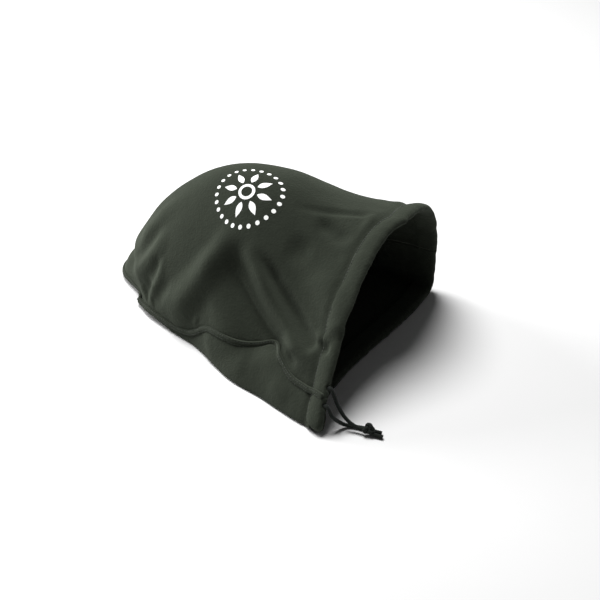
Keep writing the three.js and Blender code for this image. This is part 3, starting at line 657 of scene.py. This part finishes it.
def fleece_material(name, colour):
    """Brushed fleece: soft clumps of pile, a worn bloom in patches and a felt-like sheen"""
    s = Shader(name)
    clumps = s.node("ShaderNodeTexVoronoi", {"feature": "SMOOTH_F1"}, {
        "Vector": s.place, "Scale": 420.0, "Smoothness": 0.6})
    pile = s.noise(scale=900.0, detail=3.0, roughness=0.6)
    patches = s.spread(s.noise(scale=26.0, detail=3.0, roughness=0.55), low=0.3, high=0.7)
    mottle = s.spread(s.noise(scale=160.0, detail=2.0, roughness=0.6), low=0.25, high=0.75)
    grain = s.spread(s.noise(scale=430.0, detail=2.0, roughness=0.6), low=0.3, high=0.7)
    tone = patches * 0.4 + mottle * 0.3 + grain * 0.3
    relief = pile * 0.6 + clumps * 0.8 + mottle * 0.5
    s.set(Base_Color=s.blend(tone, shade(colour, 0.72), shade(colour, 1.3)), Roughness=0.9 + pile * 0.1)
    s.set(Specular_IOR_Level=0.04, Sheen_Weight=0.14, Sheen_Roughness=0.7, Sheen_Tint=(*FLEECE_SHEEN, 1.0))
    s.set(Normal=s.bump(relief, strength=0.55, distance=0.0009))
    return s.material


def thread_material(name, colour):
    """Twisted sewing thread"""
    s = Shader(name)
    fibre = s.noise(scale=1500.0, detail=2.0, roughness=0.6)
    s.set(Base_Color=s.blend(fibre, shade(colour, 0.8), shade(colour, 1.2)), Roughness=0.65 + fibre * 0.2)
    s.set(Specular_IOR_Level=0.3, Sheen_Weight=0.3)
    s.set(Normal=s.bump(fibre, strength=0.3, distance=0.0003))
    return s.material


def cord_material(name, colour):
    """Braided cord"""
    s = Shader(name)
    fibre = s.noise(scale=1300.0, detail=3.0, roughness=0.6)
    worn = s.spread(s.noise(scale=90.0, detail=2.0, roughness=0.5), low=0.3, high=0.7)
    s.set(Base_Color=s.blend(fibre * 0.6 + worn * 0.4, shade(colour, 0.75), shade(colour, 1.3)))
    s.set(Roughness=0.7 + fibre * 0.2, Specular_IOR_Level=0.1, Sheen_Weight=0.1, Sheen_Roughness=0.5)
    s.set(Normal=s.bump(fibre, strength=0.4, distance=0.0004))
    return s.material


def ink_material(name, colour):
    """Screen print that lets a little of the pile show"""
    s = Shader(name)
    grain = s.noise(scale=700.0, detail=3.0, roughness=0.6)
    wear = s.spread(s.noise(scale=55.0, detail=3.0, roughness=0.6), low=0.25, high=0.75)
    s.set(Base_Color=s.blend(grain * 0.5 + wear * 0.5, shade(colour, 0.9), shade(colour, 1.04)))
    s.set(Roughness=0.62 + grain * 0.2, Normal=s.bump(grain, strength=0.35, distance=0.0004))
    return s.material


FLOOR_GREYS = (0.70, 0.72)


def floor_material(name):
    """Plain pale floor"""
    s = Shader(name)
    dust = s.noise(scale=6.0, detail=2.0, roughness=0.5)
    s.set(Base_Color=s.blend(dust, *((grey, grey, grey, 1) for grey in FLOOR_GREYS)))
    s.set(Roughness=0.8 + dust * 0.1)
    return s.material


# Pieces

SLACK_COLUMNS = 0.66  # share of the upper panel's columns that lies on the slack flank
UPPER_TUCK = 0.004  # how far each panel reaches under the hem
LOWER_TUCK = 0.010


def upper_places(sizes):
    """Places (along, around) of the upper panel's grid, from under the hem to the closed end"""
    slack = int(sizes.grid_around * SLACK_COLUMNS)
    tight = sizes.grid_around - slack
    share = np.concatenate((np.linspace(0, 0.5, slack), np.linspace(0.5, 1, tight + 1)[1:]))[None]
    start = hem_share(mix(SEAM_NEAR[0], SEAM_FAR[0], share), sizes.hem_width - UPPER_TUCK)
    along = mix(start, 1.0, np.linspace(0, 1, sizes.grid_along)[:, None])
    near, far = seam_places(along)
    return along, mix(near, far, share)


def make_upper_panel(sizes, material):
    points = fleece(*upper_places(sizes), sizes.hem_width)
    return new_piece(
        "upper_fleece", *thick_sheet(points, sizes.cloth), material, "fleece_upper", ["upper_panel"])


FLOOR_COLUMNS = 90
FLANK_COLUMNS = 18
END_ROWS = 16
FLOOR_TURN = 0.015  # over which the floor's edge turns up
EDGE_POINTS = (160, 120)  # of the floor's edge, along a flank and round the closed end
BOW_SHARE = (0.4, 0.36)  # where along the bag the floor's draw ends, and the share over which it dies away
ROUNDING = (2.6, 1.6)  # columns over which the turn to the floor is rounded, at the hem and behind it
ROUNDING_RUN = 0.15  # share of the length over which the first becomes the second
LOWER_MERGE = 2e-5


def settle_floor(points):
    """Gives points of the floor their height: flat, turned up to the edge that rises at the closed end"""
    along, around = (np.linspace(0, 1, count) for count in EDGE_POINTS)
    flat = points.reshape(-1, 3)
    best = np.full(len(flat), np.inf)
    height = np.zeros(len(flat))
    for spot in np.concatenate((form(along, 0), form(1, around), form(along[::-1], 1))):
        distance = np.hypot(flat[:, 0] - spot[0], flat[:, 1] - spot[1])
        closer = distance < best
        best[closer] = distance[closer]
        height[closer] = spot[2]
    flat[:, 2] = height * (1 - np.minimum(1, best / FLOOR_TURN)) ** 2
    return flat.reshape(points.shape)


def make_lower_panel(sizes, material):
    rows = sizes.grid_along
    start = hem_share(np.array(0.0), sizes.hem_width - LOWER_TUCK)
    along = mix(float(start), 1.0, np.linspace(0, 1, rows))[:, None]
    near, far = seam_places(along)
    flank = np.linspace(1, 0, FLANK_COLUMNS)[None]
    near_flank = fleece(along, near * flank, sizes.hem_width)
    far_flank = fleece(along, 1 - (1 - far) * flank, sizes.hem_width)[:, ::-1]
    across = np.linspace(0, 1, FLOOR_COLUMNS)[None, 1:-1, None]
    floor = settle_floor(mix(near_flank[:, -1:], far_flank[:, :1], across))
    floor[..., 0] -= floor_bow(floor[..., 1]) * ramp(BOW_SHARE[0] - along, BOW_SHARE[1])
    points = np.concatenate((near_flank, floor, far_flank), 1)
    for i in range(rows):
        points[i] = softened(points[i], mix(*ROUNDING, ramp(i / rows, ROUNDING_RUN)))
    points = kept_above(points)
    chord = points[-1, FLANK_COLUMNS - 1:-FLANK_COLUMNS + 1]
    arc = form(1, np.linspace(0, 1, len(chord)))
    cap = settle_floor(mix(chord[None], arc[None], np.linspace(0, 1, END_ROWS)[:, None, None]))
    cap[0] = chord
    sheet = lower_sheet(points, cap, sizes.cloth)
    return new_piece("lower_fleece", *sheet, material, "fleece_lower", ["lower_panel"], LOWER_MERGE)


def lower_sheet(points, cap, thickness):
    """Points and faces of the lower panel: its main grid with the end's grid joined on, made thick"""
    main = points[:, ::-1]
    end = cap[:, ::-1]
    rows, columns, _ = main.shape
    end_rows, end_columns, _ = end.shape
    main_inner = inner_face(main, thickness)
    end_inner = inner_face(end, thickness)
    end_inner[0] = main_inner[-1, FLANK_COLUMNS - 1:-FLANK_COLUMNS + 1]
    parts = (main, main_inner, end, end_inner)
    starts = np.cumsum([0] + [p.shape[0] * p.shape[1] for p in parts]).tolist()
    faces = []
    for part, start, flip in zip(parts, starts, (False, True, False, True)):
        faces += grid_faces(*part.shape[:2], start, flip=flip)
    index = np.arange(rows * columns).reshape(rows, columns)
    edge = [*index[::-1, 0].tolist(), *index[0, 1:].tolist(), *index[1:, -1].tolist()]
    faces += [(b, a, a + starts[1], b + starts[1]) for a, b in zip(edge, edge[1:])]
    shift = starts[3] - starts[2]
    last = [starts[2] + (end_rows - 1) * end_columns + j for j in range(end_columns)]
    faces += [(a, b, b + shift, a + shift) for a, b in zip(last, last[1:])]
    return np.concatenate([p.reshape(-1, 3) for p in parts]), faces


SEAM_OVER_HEM = (-0.012, 0.0105)  # stretch of the hem that the seam crosses, from the tunnel's middle
SEAM_TUCK = 0.001  # how far the seam's run over the cloth starts under the hem
SEAM_POINTS = (300, 160)  # along a flank and round the closed end
SEAM_STEP = 0.002
SEAM_EVENING = (2.0, 3.0)  # steps over which the seam's line and its facing are evened out
SEAM_LYING = (0.3, 0.3)  # how far up the cloth faces where the seam turns outwards, and the range
SEAM_TILT = 0.2  # how far up the seam still faces once it has turned


def seam_line(sizes):
    """Middle line of the seam round three sides, with the directions along, across and away from it"""
    start = float(hem_share(np.array(SEAM_NEAR[0]), sizes.hem_width - SEAM_TUCK))
    along = np.linspace(start, 1, SEAM_POINTS[0])
    around = np.linspace(0, 1, SEAM_POINTS[1])[1:-1]
    near, far = seam_places(along)
    places = ((along, near), (np.ones_like(around), around), (along[::-1], far[::-1]))
    points = np.concatenate([cloth(*place) for place in places])
    normals = np.concatenate([normal_of(cloth, *place) for place in places])
    rings = upper_hem_rings(sizes)[[0, -1], :HEM_POINTS]
    reach = hem_profile(sizes.hem_thick)[:HEM_POINTS, 0]
    over = rings[:, (reach > SEAM_OVER_HEM[0]) & (reach < SEAM_OVER_HEM[1])]
    points = np.concatenate((over[0, ::-1], points, over[1]))
    normals = np.pad(normals, ((over.shape[1], over.shape[1]), (0, 0)), "edge")
    line, share = resampled(points, SEAM_STEP)
    lengths = run_lengths(points)
    normals = interpolated(share, lengths / lengths[-1], normals)
    line = softened(line, SEAM_EVENING[0])
    tangent = unit(np.gradient(line, axis=0))
    upright = unit(np.stack((-tangent[:, 1], tangent[:, 0], np.full(len(line), SEAM_TILT)), 1))
    lying = ramp(normals[:, 2:] - SEAM_LYING[0], SEAM_LYING[1])
    normals = unit(softened(unit(mix(unit(normals), upright, lying)), SEAM_EVENING[1]))
    across = unit(np.cross(tangent, normals))
    return line, tangent, across, unit(np.cross(across, tangent))


# The band's section, as shares of its half width and of its rise, from one edge to the middle
SEAM_HALF = (
    (-1.0, -0.9), (-0.98, 0.1), (-0.86, 0.62), (-0.66, 0.7), (-0.56, 0.52), (-0.46, 0.74), (-0.22, 1.0),
    (0.0, 0.86),
)
SEAM_SWELL = (0.10, 0.012, 11)  # share, length and seed of the band's unevenness
SEAM_ROWS = (-0.56, 0.56)  # where the two rows of stitches lie across the band


def make_seam(sizes, fleece_look, thread_look):
    line, tangent, across, normal = seam_line(sizes)
    half = sizes.seam_width / 2
    swell = 1 + uneven(line, *SEAM_SWELL)[:, None, None]
    profile = np.array((*SEAM_HALF, *((-side, rise) for side, rise in SEAM_HALF[-2::-1])))
    rings = line[:, None] + across[:, None] * (profile[:, :1] * half)[None]
    rings = rings + normal[:, None] * (profile[:, 1:] * sizes.seam_rise)[None] * swell
    tube_piece("seam_band", kept_above(rings), fleece_look, "seam", "side_seam")
    rows = []
    for row in SEAM_ROWS:
        height = np.interp(row, *profile.T) * sizes.seam_rise
        rows.append((line + across * row * half + normal * height, tangent, normal))
    make_stitches("seam_stitches", rows, sizes, thread_look, "seam")


STITCH_RINGS = 5
STITCH_SIDES = 6
STITCH_LENGTH = 0.78  # share of the pitch that a stitch covers
STITCH_WIDTH = 0.0009
STITCH_DIP = 0.3  # depth of a stitch's ends, as a share of its width
STITCH_RISE = 0.45  # from there to its middle
STITCH_TAPER = 0.45  # thickness of its ends, as a share of its middle's


def make_stitches(name, rows, sizes, material, slot):
    """Rows of lockstitches, each a short bowed thread that dips into the cloth at both ends"""
    points = []
    faces = []
    share = np.linspace(0, 1, STITCH_RINGS)[:, None]
    angle = turns(STITCH_SIDES)[:, None]
    bow = np.sin(math.pi * share)
    reach = (share - 0.5) * sizes.stitch_pitch * STITCH_LENGTH
    lift = (bow * STITCH_RISE - STITCH_DIP) * STITCH_WIDTH
    thick = STITCH_WIDTH / 2 * mix(STITCH_TAPER, 1, bow)[..., None]
    for line, tangent, normal in rows:
        lengths = run_lengths(line)
        for middle in np.arange(sizes.stitch_pitch, lengths[-1] - sizes.stitch_pitch, sizes.stitch_pitch):
            i = int(np.searchsorted(lengths, middle))
            side = np.cross(tangent[i], normal[i])
            spine = line[i] + reach * tangent[i] + lift * normal[i]
            first = len(points) * STITCH_RINGS * STITCH_SIDES
            points.append(spine[:, None] + thick * (np.cos(angle) * side + np.sin(angle) * normal[i]))
            faces += [tuple(first + k for k in face) for face in tube_faces(STITCH_RINGS, STITCH_SIDES)]
    new_piece(name, np.array(points), faces, material, slot)


# Hem and drawcord

MOUTHWARD_STEP = 0.03  # share of the length over which the direction to the mouth is taken


def mouthward(around):
    return unit(form(0, around) - form(MOUTHWARD_STEP, around))


def hem_points(around, place, height, sizes):
    """Points of the hem at distances from the tunnel's middle towards the mouth and outwards"""
    along = hem_share(around, sizes.hem_width / 2 - place)
    outwards = height - (sizes.hem_thick / 2 - sizes.hem_proud)
    return cloth(along, around) + normal_of(form, along, around) * outwards[..., None]


def hem_middle(around, sizes):
    return hem_points(around, 0, np.zeros(1), sizes)


# The hem is drawn back on the floor: how far at most, where this starts on both sides, and the lengths over
# which it grows from there
BOW_DEPTH = 0.026
BOW_FAR = (0.176, 0.250)
BOW_NEAR = (-0.174, 0.088)


def floor_bow(y):
    return BOW_DEPTH * ramp(BOW_FAR[0] - y, BOW_FAR[1]) * ramp(y - BOW_NEAR[0], BOW_NEAR[1])


HEM_BEND = (0.034, 0.964)  # places around where the hem leaves the near and the far flank for the floor
BEND_STEP = 0.02  # share of the way around over which the flank's slope there is taken
UPPER_POINTS = 240  # of the line of the hem's upper half, and of the stretches of its lower half
FAR_POINTS, BEND_POINTS, FLOOR_POINTS, NEAR_POINTS = 40, 24, 120, 30
HEM_STEP = 0.0025
HEM_EVENING = 2.6  # steps over which the lower half's line is evened out


def upper_hem_line(sizes):
    around = np.linspace(SEAM_NEAR[0], SEAM_FAR[0], UPPER_POINTS)
    return hem_middle(around, sizes), mouthward(around)


def bezier(a, b, c, count):
    t = np.linspace(0, 1, count)[:, None]
    return a * (1 - t) ** 2 + b * 2 * t * (1 - t) + c * t * t


def lower_hem_line(sizes):
    """Line of the hem's lower half: down the far flank, over the floor and up the near flank"""
    near_bend, far_bend = HEM_BEND

    def corner(around):
        higher = around + math.copysign(BEND_STEP, 0.5 - around)
        flank, inner = hem_middle(np.array([around, higher]), sizes)
        down = flank - inner
        return flank, flank + down * (sizes.hem_thick / 2 - flank[2]) / down[2]

    far_flank, far_corner = corner(far_bend)
    near_flank, near_corner = corner(near_bend)
    run = unit(near_corner - far_corner)
    far_end = far_corner + run * np.linalg.norm(far_corner - far_flank)
    near_end = near_corner - run * np.linalg.norm(near_corner - near_flank)
    floor = mix(far_end, near_end, np.linspace(0, 1, FLOOR_POINTS)[:, None])
    floor[:, 0] -= floor_bow(floor[:, 1])
    line = np.concatenate((
        hem_middle(np.linspace(SEAM_FAR[0], far_bend, FAR_POINTS), sizes)[:-1],
        bezier(far_flank, far_corner, floor[0], BEND_POINTS)[:-1],
        floor[:-1],
        bezier(floor[-1], near_corner, near_flank, BEND_POINTS)[:-1],
        hem_middle(np.linspace(near_bend, SEAM_NEAR[0], NEAR_POINTS), sizes),
    ))
    line, share = resampled(line, HEM_STEP)
    ends = mouthward(np.array([1.0, 0.0]))
    return softened(line, HEM_EVENING), unit(mix(*ends, share[:, None]))


TURN_EVENING = 3.5  # steps over which the hem's direction is evened out
SQUARING = 0.4  # how far the direction to the mouth is made square to the hem


def hem_frames(line, towards):
    """Directions along the hem, to the mouth and outwards"""
    tangent = unit(softened(np.gradient(line, axis=0), TURN_EVENING))
    towards = unit(towards - SQUARING * tangent * dot(towards, tangent))
    return tangent, towards, unit(np.cross(towards, tangent))


HEM_POINTS = 17
HEM_BACK = 0.0152  # from the tunnel's middle to where it has dived under the panel
HEM_FRONT = 0.0132  # from the tunnel's middle to the mouth's edge
HEM_BELLY = 0.005  # where the tunnel is thickest, from its middle towards the mouth
HEM_OUTER = (-0.0012, 0.7, 3)  # height of the outer face under the panel, and the powers of its rise and roll
HEM_INNER = (-0.0032, 1, 2)  # the same of the inner face
HEM_STITCH = (-0.0125, 0.0003)  # where the hem's stitches lie, and how far above its face
HEM_RINGS = 260
HEM_GATHERS = ((0.05, 0.016, 17), (0.03, 0.007, 19))  # share, length and seed of the hem's gathers
HEM_UNEVEN = (0.0004, 0.009, 29)  # height, length and seed of its unevenness
PIT = (0.0045, 0.0042)  # depth and width of the pit where the cord leaves the hem


def hem_face(place, thick, dive, rise_power, roll_power):
    """Height of a face of the tunnel at a distance from its middle towards the mouth"""
    climb = np.clip((place + HEM_BACK) / (HEM_BACK + HEM_BELLY), 0, 1)
    rise = np.sin(0.5 * math.pi * climb) ** rise_power
    roll = np.maximum(0, (place - HEM_BELLY) / (HEM_FRONT - HEM_BELLY)) ** roll_power
    front = np.sqrt(np.maximum(0, 1 - roll))
    return np.where(place < HEM_BELLY, mix(dive, thick / 2, rise), thick / 2 * front)


def hem_profile(thick):
    """Distances towards the mouth and outwards of the tunnel's outer face, and of its inner face"""
    swing = (1 - np.cos(np.linspace(0, math.pi, HEM_POINTS))) / 2
    place = mix(-HEM_BACK, HEM_FRONT, swing)
    outer = np.stack((place, hem_face(place, thick, *HEM_OUTER)), 1)
    inner = np.stack((place, hem_face(place, -thick, *HEM_INNER)), 1)
    return np.concatenate((outer, inner[-2::-1]))


def upper_hem_rings(sizes):
    """Rings of the hem's upper half, which follow the folds of the cloth"""
    around = np.linspace(SEAM_NEAR[0], SEAM_FAR[0], HEM_RINGS)[:, None]
    return hem_points(around, *hem_profile(sizes.hem_thick).T, sizes)


def lower_hem_rings(sizes):
    """Rings of the hem's lower half, down the far flank, over the floor and up the near flank"""
    line, towards = lower_hem_line(sizes)
    _, towards, outward = hem_frames(line, towards)
    profile = hem_profile(sizes.hem_thick)
    return line[:, None] + towards[:, None] * profile[None, :, :1] + outward[:, None] * profile[None, :, 1:]


def make_hem(half, rings, material, exit_spot, way):
    """A half of the hem: its rings gathered, made uneven and pressed in where the cord leaves it"""
    middle = rings.mean(1, keepdims=True)
    gather = 1
    for wave in HEM_GATHERS:
        gather = gather + uneven(middle, *wave)
    rings = middle + (rings - middle) * gather[..., None]
    rings = rings + unit(rings - middle) * uneven(rings, *HEM_UNEVEN)[..., None]
    distance = np.linalg.norm(rings - exit_spot, axis=-1, keepdims=True)
    rings = rings - way * PIT[0] * np.exp(-(distance / PIT[1]) ** 2)
    tube_piece(half + "_hem_roll", kept_above(rings), material, "fleece_hem", half + "_hem")


def hem_stitch_row(line, towards, sizes):
    tangent, towards, outward = hem_frames(line, towards)
    place, clearance = HEM_STITCH
    height = hem_face(np.array(place), sizes.hem_thick, *HEM_OUTER) + clearance
    return line + towards * place + outward * height, tangent, outward


def make_hems(sizes, fleece_look, thread_look):
    halves = (("upper", upper_hem_line, upper_hem_rings), ("lower", lower_hem_line, lower_hem_rings))
    rows = []
    for (half, hem_line, hem_rings), (exit_spot, way, _) in zip(halves, cord_exits(sizes)):
        make_hem(half, hem_rings(sizes), fleece_look, exit_spot, way)
        rows.append(hem_stitch_row(*hem_line(sizes), sizes))
    make_stitches("hem_stitches", rows, sizes, thread_look, "fleece_hem")


EXIT_REACHES = (0.010, 0.015)  # places of a route's next two points, from the tunnel's middle outwards


def cord_exits(sizes):
    """Exit points of the cord's two ends, with the direction out of the hem and the start of each route"""
    exits = []
    for hem_line, distance in ((upper_hem_line, EXIT_OFFSET), (lower_hem_line, -EXIT_OFFSET)):
        line, towards = hem_line(sizes)
        _, towards, _ = hem_frames(line, towards)
        lengths = run_lengths(line)
        i = int(np.searchsorted(lengths, distance % lengths[-1]))
        route = [line[i] + towards[i] * reach for reach in (CORD_SPOT - sizes.cord / 2, *EXIT_REACHES)]
        exits.append((line[i] + towards[i] * HEM_FRONT, towards[i], route))
    return exits


PATH_STEP = 0.0007
KNOT_TURN = (0.06, 1.94 * math.pi)  # angles at which the cord enters and leaves the loops
KNOT_POINTS = 160
KNOT_LOBE = 0.0021  # a third of the reach of the knot's three loops
KNOT_CROSSING = 0.0024  # how far the cord passes over and under itself
KNOT_FACING = np.array((0.381, -0.747, 0.545))  # the side on which the loops lie open
KNOT_SHIFT = np.array((-0.0008, -0.0009, 0.0014))  # from KNOT_MIDDLE to the middle of the loops
KNOT_SQUASH = 0.88  # height of the loops, as a share of their width
TAIL_BACK = -0.002  # how far behind the knot's middle the tails start
TAIL_SPREAD = 0.3  # how far apart they start, as a share of where their routes do


def knot_path():
    """Path of the cord through the three loops of the overhand knot"""
    turn = np.linspace(*KNOT_TURN, KNOT_POINTS)[:, None]
    across = unit(np.cross((0, 0, 1), KNOT_FACING))
    down = -KNOT_SQUASH * np.cross(KNOT_FACING, across)
    loops = (np.sin(turn) + 2 * np.sin(2 * turn)) * across + (np.cos(turn) - 2 * np.cos(2 * turn)) * down
    over = -KNOT_CROSSING * np.sin(3 * turn) * KNOT_FACING
    return KNOT_MIDDLE + KNOT_SHIFT + KNOT_LOBE * loops + over


def cord_piece(name, path, sizes, material, node):
    return tube_piece(name, braided_tube(path, sizes.cord), material, "cord", node)


def make_drawcord(sizes, material):
    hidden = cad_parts["drawcord_in_hem"].data.materials
    hidden.clear()
    hidden.append(material)
    loops = resampled(knot_path(), PATH_STEP)[0]
    on_it = [cord_piece("knot_loops", loops, sizes, material, "drawcord_knot")]
    for tail, route in zip(("tail_a", "tail_b"), TAIL_ROUTES):
        start = KNOT_MIDDLE + np.array((TAIL_BACK, TAIL_SPREAD * (route[0][1] - KNOT_MIDDLE[1]), 0))
        path = smooth_path((start, *route), PATH_STEP)
        on_it.append(cord_piece("cord_" + tail, path, sizes, material, "drawcord_" + tail))
    ends = zip(("upper", "lower"), cord_exits(sizes), (UPPER_ROUTE, LOWER_ROUTE), (on_it, []))
    for half, (exit_spot, _, start), route, carried in ends:
        path = smooth_path((*start, *route), PATH_STEP)
        strand = cord_piece(half + "_cord_end", path, sizes, material, f"drawcord_{half}_end")


# Printed ornament

PRINT_PLACE = (0.389, 0.412)  # middle of the print, along and around
PRINT_LIFT = 0.00035
RING = (0.0075, 0.0115)  # inner and outer radius of the middle ring
PETALS = 8
PETAL_SPAN = (0.0155, 0.0345)
PETAL_WIDTH = 0.0085
PETAL_TIP = 0.01  # share of a petal's length over which its blunt ends keep their width
PETAL_LEAN = 0.8  # below 1, a petal is widest nearer to the ring
DOTS = 24
DOT_REACH = 0.0440
DOT_RADIUS = 0.0027
DOT_HOLE = 0.05  # share of the radius left open in a dot's middle
RING_GRID, PETAL_GRID, DOT_GRID = (4, 49), (16, 7), (4, 17)  # rows and columns of each patch


def print_points(flat, sizes):
    """Lays flat places of the print, in metres from its middle, on the upper panel"""
    along, around = PRINT_PLACE
    reach = 2 * MEASURE_STEP
    lengthwise = (form(along + MEASURE_STEP, around) - form(along - MEASURE_STEP, around)) / reach
    crosswise = (form(along, around + MEASURE_STEP) - form(along, around - MEASURE_STEP)) / reach
    first = unit(-lengthwise)
    second = np.cross(unit(np.cross(crosswise, lengthwise)), first)
    basis = np.array((first, second)) @ np.stack((lengthwise, crosswise), 1)
    places = (np.array(PRINT_PLACE) + flat @ np.linalg.inv(basis).T).T
    return fleece(*places, sizes.hem_width) + normal_of(form, *places) * PRINT_LIFT


def make_print(sizes, material):
    """A plain rosette: a ring, eight pointed petals and a circle of dots"""
    points = []
    faces = []

    def patch(grid):
        rows, columns, _ = grid.shape
        faces.extend(grid_faces(rows, columns, sum(len(p) for p in points)))
        points.append(grid.reshape(-1, 2))

    def disc(middle, inner, outer, rows, columns):
        angle = np.linspace(0, 2 * math.pi, columns)
        reach = np.linspace(inner, outer, rows)[:, None]
        patch(middle + np.stack((reach * np.cos(angle), reach * np.sin(angle)), -1))

    def headings(count):
        return [np.array((math.cos(turn), math.sin(turn))) for turn in turns(count)]

    disc(np.zeros(2), *RING, *RING_GRID)
    share = np.linspace(0, 1, PETAL_GRID[0])[:, None]
    width = PETAL_WIDTH * np.sin(math.pi * np.clip(share, PETAL_TIP, 1 - PETAL_TIP) ** PETAL_LEAN)
    side = (width * np.linspace(-0.5, 0.5, PETAL_GRID[1]))[..., None]
    for heading in headings(PETALS):
        square = np.array((-heading[1], heading[0]))
        patch(mix(*PETAL_SPAN, share)[..., None] * heading + side * square)
    for heading in headings(DOTS):
        disc(DOT_REACH * heading, DOT_RADIUS * DOT_HOLE, DOT_RADIUS, *DOT_GRID)
    laid = print_points(np.concatenate(points), sizes)
    new_piece("print", laid, faces, material, "fleece_upper", merge=0)


# Stage

TARGET = np.array((0, 0, 0.1))
VIEW_AZIMUTH = math.radians(27)
VIEW_ELEVATION = math.radians(33)
VIEW_DISTANCE = 2.2
VIEW_WIDTH = 0.8  # width of the picture at the target
SENSOR = 36.0
SHIFT = (0.095, -0.0617)
FLOOR_REACH = 6.0  # from the origin to the floor's edges
FLOOR_DROP = -0.0004
WORLD_LIGHT = 0.08
# Name, place, diameter and power of each light
LIGHTS = (("overhead", (-0.6, 0.35, 2.3), 1.4, 90), ("side", (-2.1, 0.15, 1.1), 1.3, 43))


def make_camera():
    back = Vector((
        math.sin(VIEW_AZIMUTH) * math.cos(VIEW_ELEVATION),
        -math.cos(VIEW_AZIMUTH) * math.cos(VIEW_ELEVATION),
        math.sin(VIEW_ELEVATION)))
    data = bpy.data.cameras.new("camera")
    data.sensor_width = SENSOR
    data.lens = SENSOR * VIEW_DISTANCE / VIEW_WIDTH
    data.shift_x, data.shift_y = SHIFT
    camera = new_object("camera", data)
    camera.location = Vector(TARGET) + back * VIEW_DISTANCE
    camera.rotation_euler = back.to_track_quat("Z", "Y").to_euler()
    bpy.context.scene.camera = camera


def make_light(name, spot, size, power):
    data = bpy.data.lights.new(name, "AREA")
    data.shape = "DISK"
    data.size = size
    data.energy = power
    light = new_object(name, data)
    light.location = spot
    light.rotation_euler = (Vector(spot) - Vector(TARGET)).to_track_quat("Z", "Y").to_euler()


def make_stage():
    floor = bpy.data.meshes.new("floor")
    corners = [(x * FLOOR_REACH, y * FLOOR_REACH, 0) for x, y in ((-1, -1), (1, -1), (1, 1), (-1, 1))]
    floor.from_pydata(corners, [], [(0, 1, 2, 3)])
    floor.materials.append(floor_material("pale_floor"))
    stage = new_object("floor", floor)
    stage.location.z = FLOOR_DROP
    world = bpy.data.worlds.new("studio")
    world.use_nodes = True
    background = world.node_tree.nodes["Background"]
    background.inputs["Color"].default_value = (1, 1, 1, 1)
    background.inputs["Strength"].default_value = WORLD_LIGHT
    bpy.context.scene.world = world
    bpy.context.scene.view_settings.view_transform = "Standard"
    for light in LIGHTS:
        make_light(*light)
    make_camera()


# Add-on

def settings(context):
    return context.scene.helmet_bag_sizes, context.scene.helmet_bag_colours


def made_once(name, make, colour):
    """The material of that name, made at its first use"""
    return bpy.data.materials.get(name) or make(name, colour)


def sewn_looks(colours):
    """The fleece and the thread of what is sewn"""
    return (made_once("brushed_fleece", fleece_material, colours.fleece),
            made_once("sewing_thread", thread_material, colours.thread))


class BAG_OT_panels(bpy.types.Operator):
    """Makes the upper and the lower fleece panel"""

    bl_idname = "helmet_bag.panels"
    bl_label = "Fleece panels"

    def execute(self, context):
        sizes, colours = settings(context)
        look = made_once("brushed_fleece", fleece_material, colours.fleece)
        look_below = made_once("brushed_fleece_below", fleece_material, colours.fleece_lower)
        upper = make_upper_panel(sizes, look)
        lower = make_lower_panel(sizes, look_below)
        return {"FINISHED"}


class BAG_OT_seam(bpy.types.Operator):
    """Makes the seam between the panels with its two rows of stitches"""

    bl_idname = "helmet_bag.seam"
    bl_label = "Side seam"

    def execute(self, context):
        sizes, colours = settings(context)
        make_seam(sizes, *sewn_looks(colours))
        return {"FINISHED"}


class BAG_OT_hem(bpy.types.Operator):
    """Makes the two halves of the hem and its stitches"""

    bl_idname = "helmet_bag.hem"
    bl_label = "Hem"

    def execute(self, context):
        sizes, colours = settings(context)
        make_hems(sizes, *sewn_looks(colours))
        return {"FINISHED"}


class BAG_OT_drawcord(bpy.types.Operator):
    """Makes the drawcord's two free ends, the knot and the tails"""

    bl_idname = "helmet_bag.drawcord"
    bl_label = "Drawcord"

    def execute(self, context):
        sizes, colours = settings(context)
        make_drawcord(sizes, made_once("braided_cord", cord_material, colours.cord))
        return {"FINISHED"}


class BAG_OT_print(bpy.types.Operator):
    """Makes the plain printed ornament on the upper panel"""

    bl_idname = "helmet_bag.print"
    bl_label = "Print"

    def execute(self, context):
        sizes, colours = settings(context)
        make_print(sizes, made_once("screen_print", ink_material, colours.ink))
        return {"FINISHED"}


class BAG_OT_stage(bpy.types.Operator):
    """Makes the floor, the lights and the camera"""

    bl_idname = "helmet_bag.stage"
    bl_label = "Stage"

    def execute(self, context):
        make_stage()
        return {"FINISHED"}


OPERATORS = (BAG_OT_stage, BAG_OT_drawcord, BAG_OT_panels, BAG_OT_seam, BAG_OT_hem, BAG_OT_print)


class BAG_PT_panel(bpy.types.Panel):
    """Lists the bag's pieces"""

    bl_idname = "BAG_PT_panel"
    bl_label = "Helmet bag"
    bl_space_type = "VIEW_3D"
    bl_region_type = "UI"
    bl_category = "Helmet bag"

    def draw(self, context):
        for group in settings(context):
            for name in group.__annotations__:
                self.layout.prop(group, name)
        for operator in OPERATORS:
            self.layout.operator(operator.bl_idname)


CLASSES = (BagSizes, BagColours, *OPERATORS, BAG_PT_panel)


def register():
    for cls in CLASSES:
        bpy.utils.register_class(cls)
    bpy.types.Scene.helmet_bag_sizes = PointerProperty(type=BagSizes)
    bpy.types.Scene.helmet_bag_colours = PointerProperty(type=BagColours)


def unregister():
    del bpy.types.Scene.helmet_bag_colours
    del bpy.types.Scene.helmet_bag_sizes
    for cls in reversed(CLASSES):
        bpy.utils.unregister_class(cls)


def main():
    register()
    bpy.ops.helmet_bag.stage()
    bpy.ops.helmet_bag.drawcord()
    bpy.ops.helmet_bag.panels()
    bpy.ops.helmet_bag.seam()
    bpy.ops.helmet_bag.hem()
    bpy.ops.helmet_bag.print()
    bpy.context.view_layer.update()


if __name__ == "__main__":
    main()
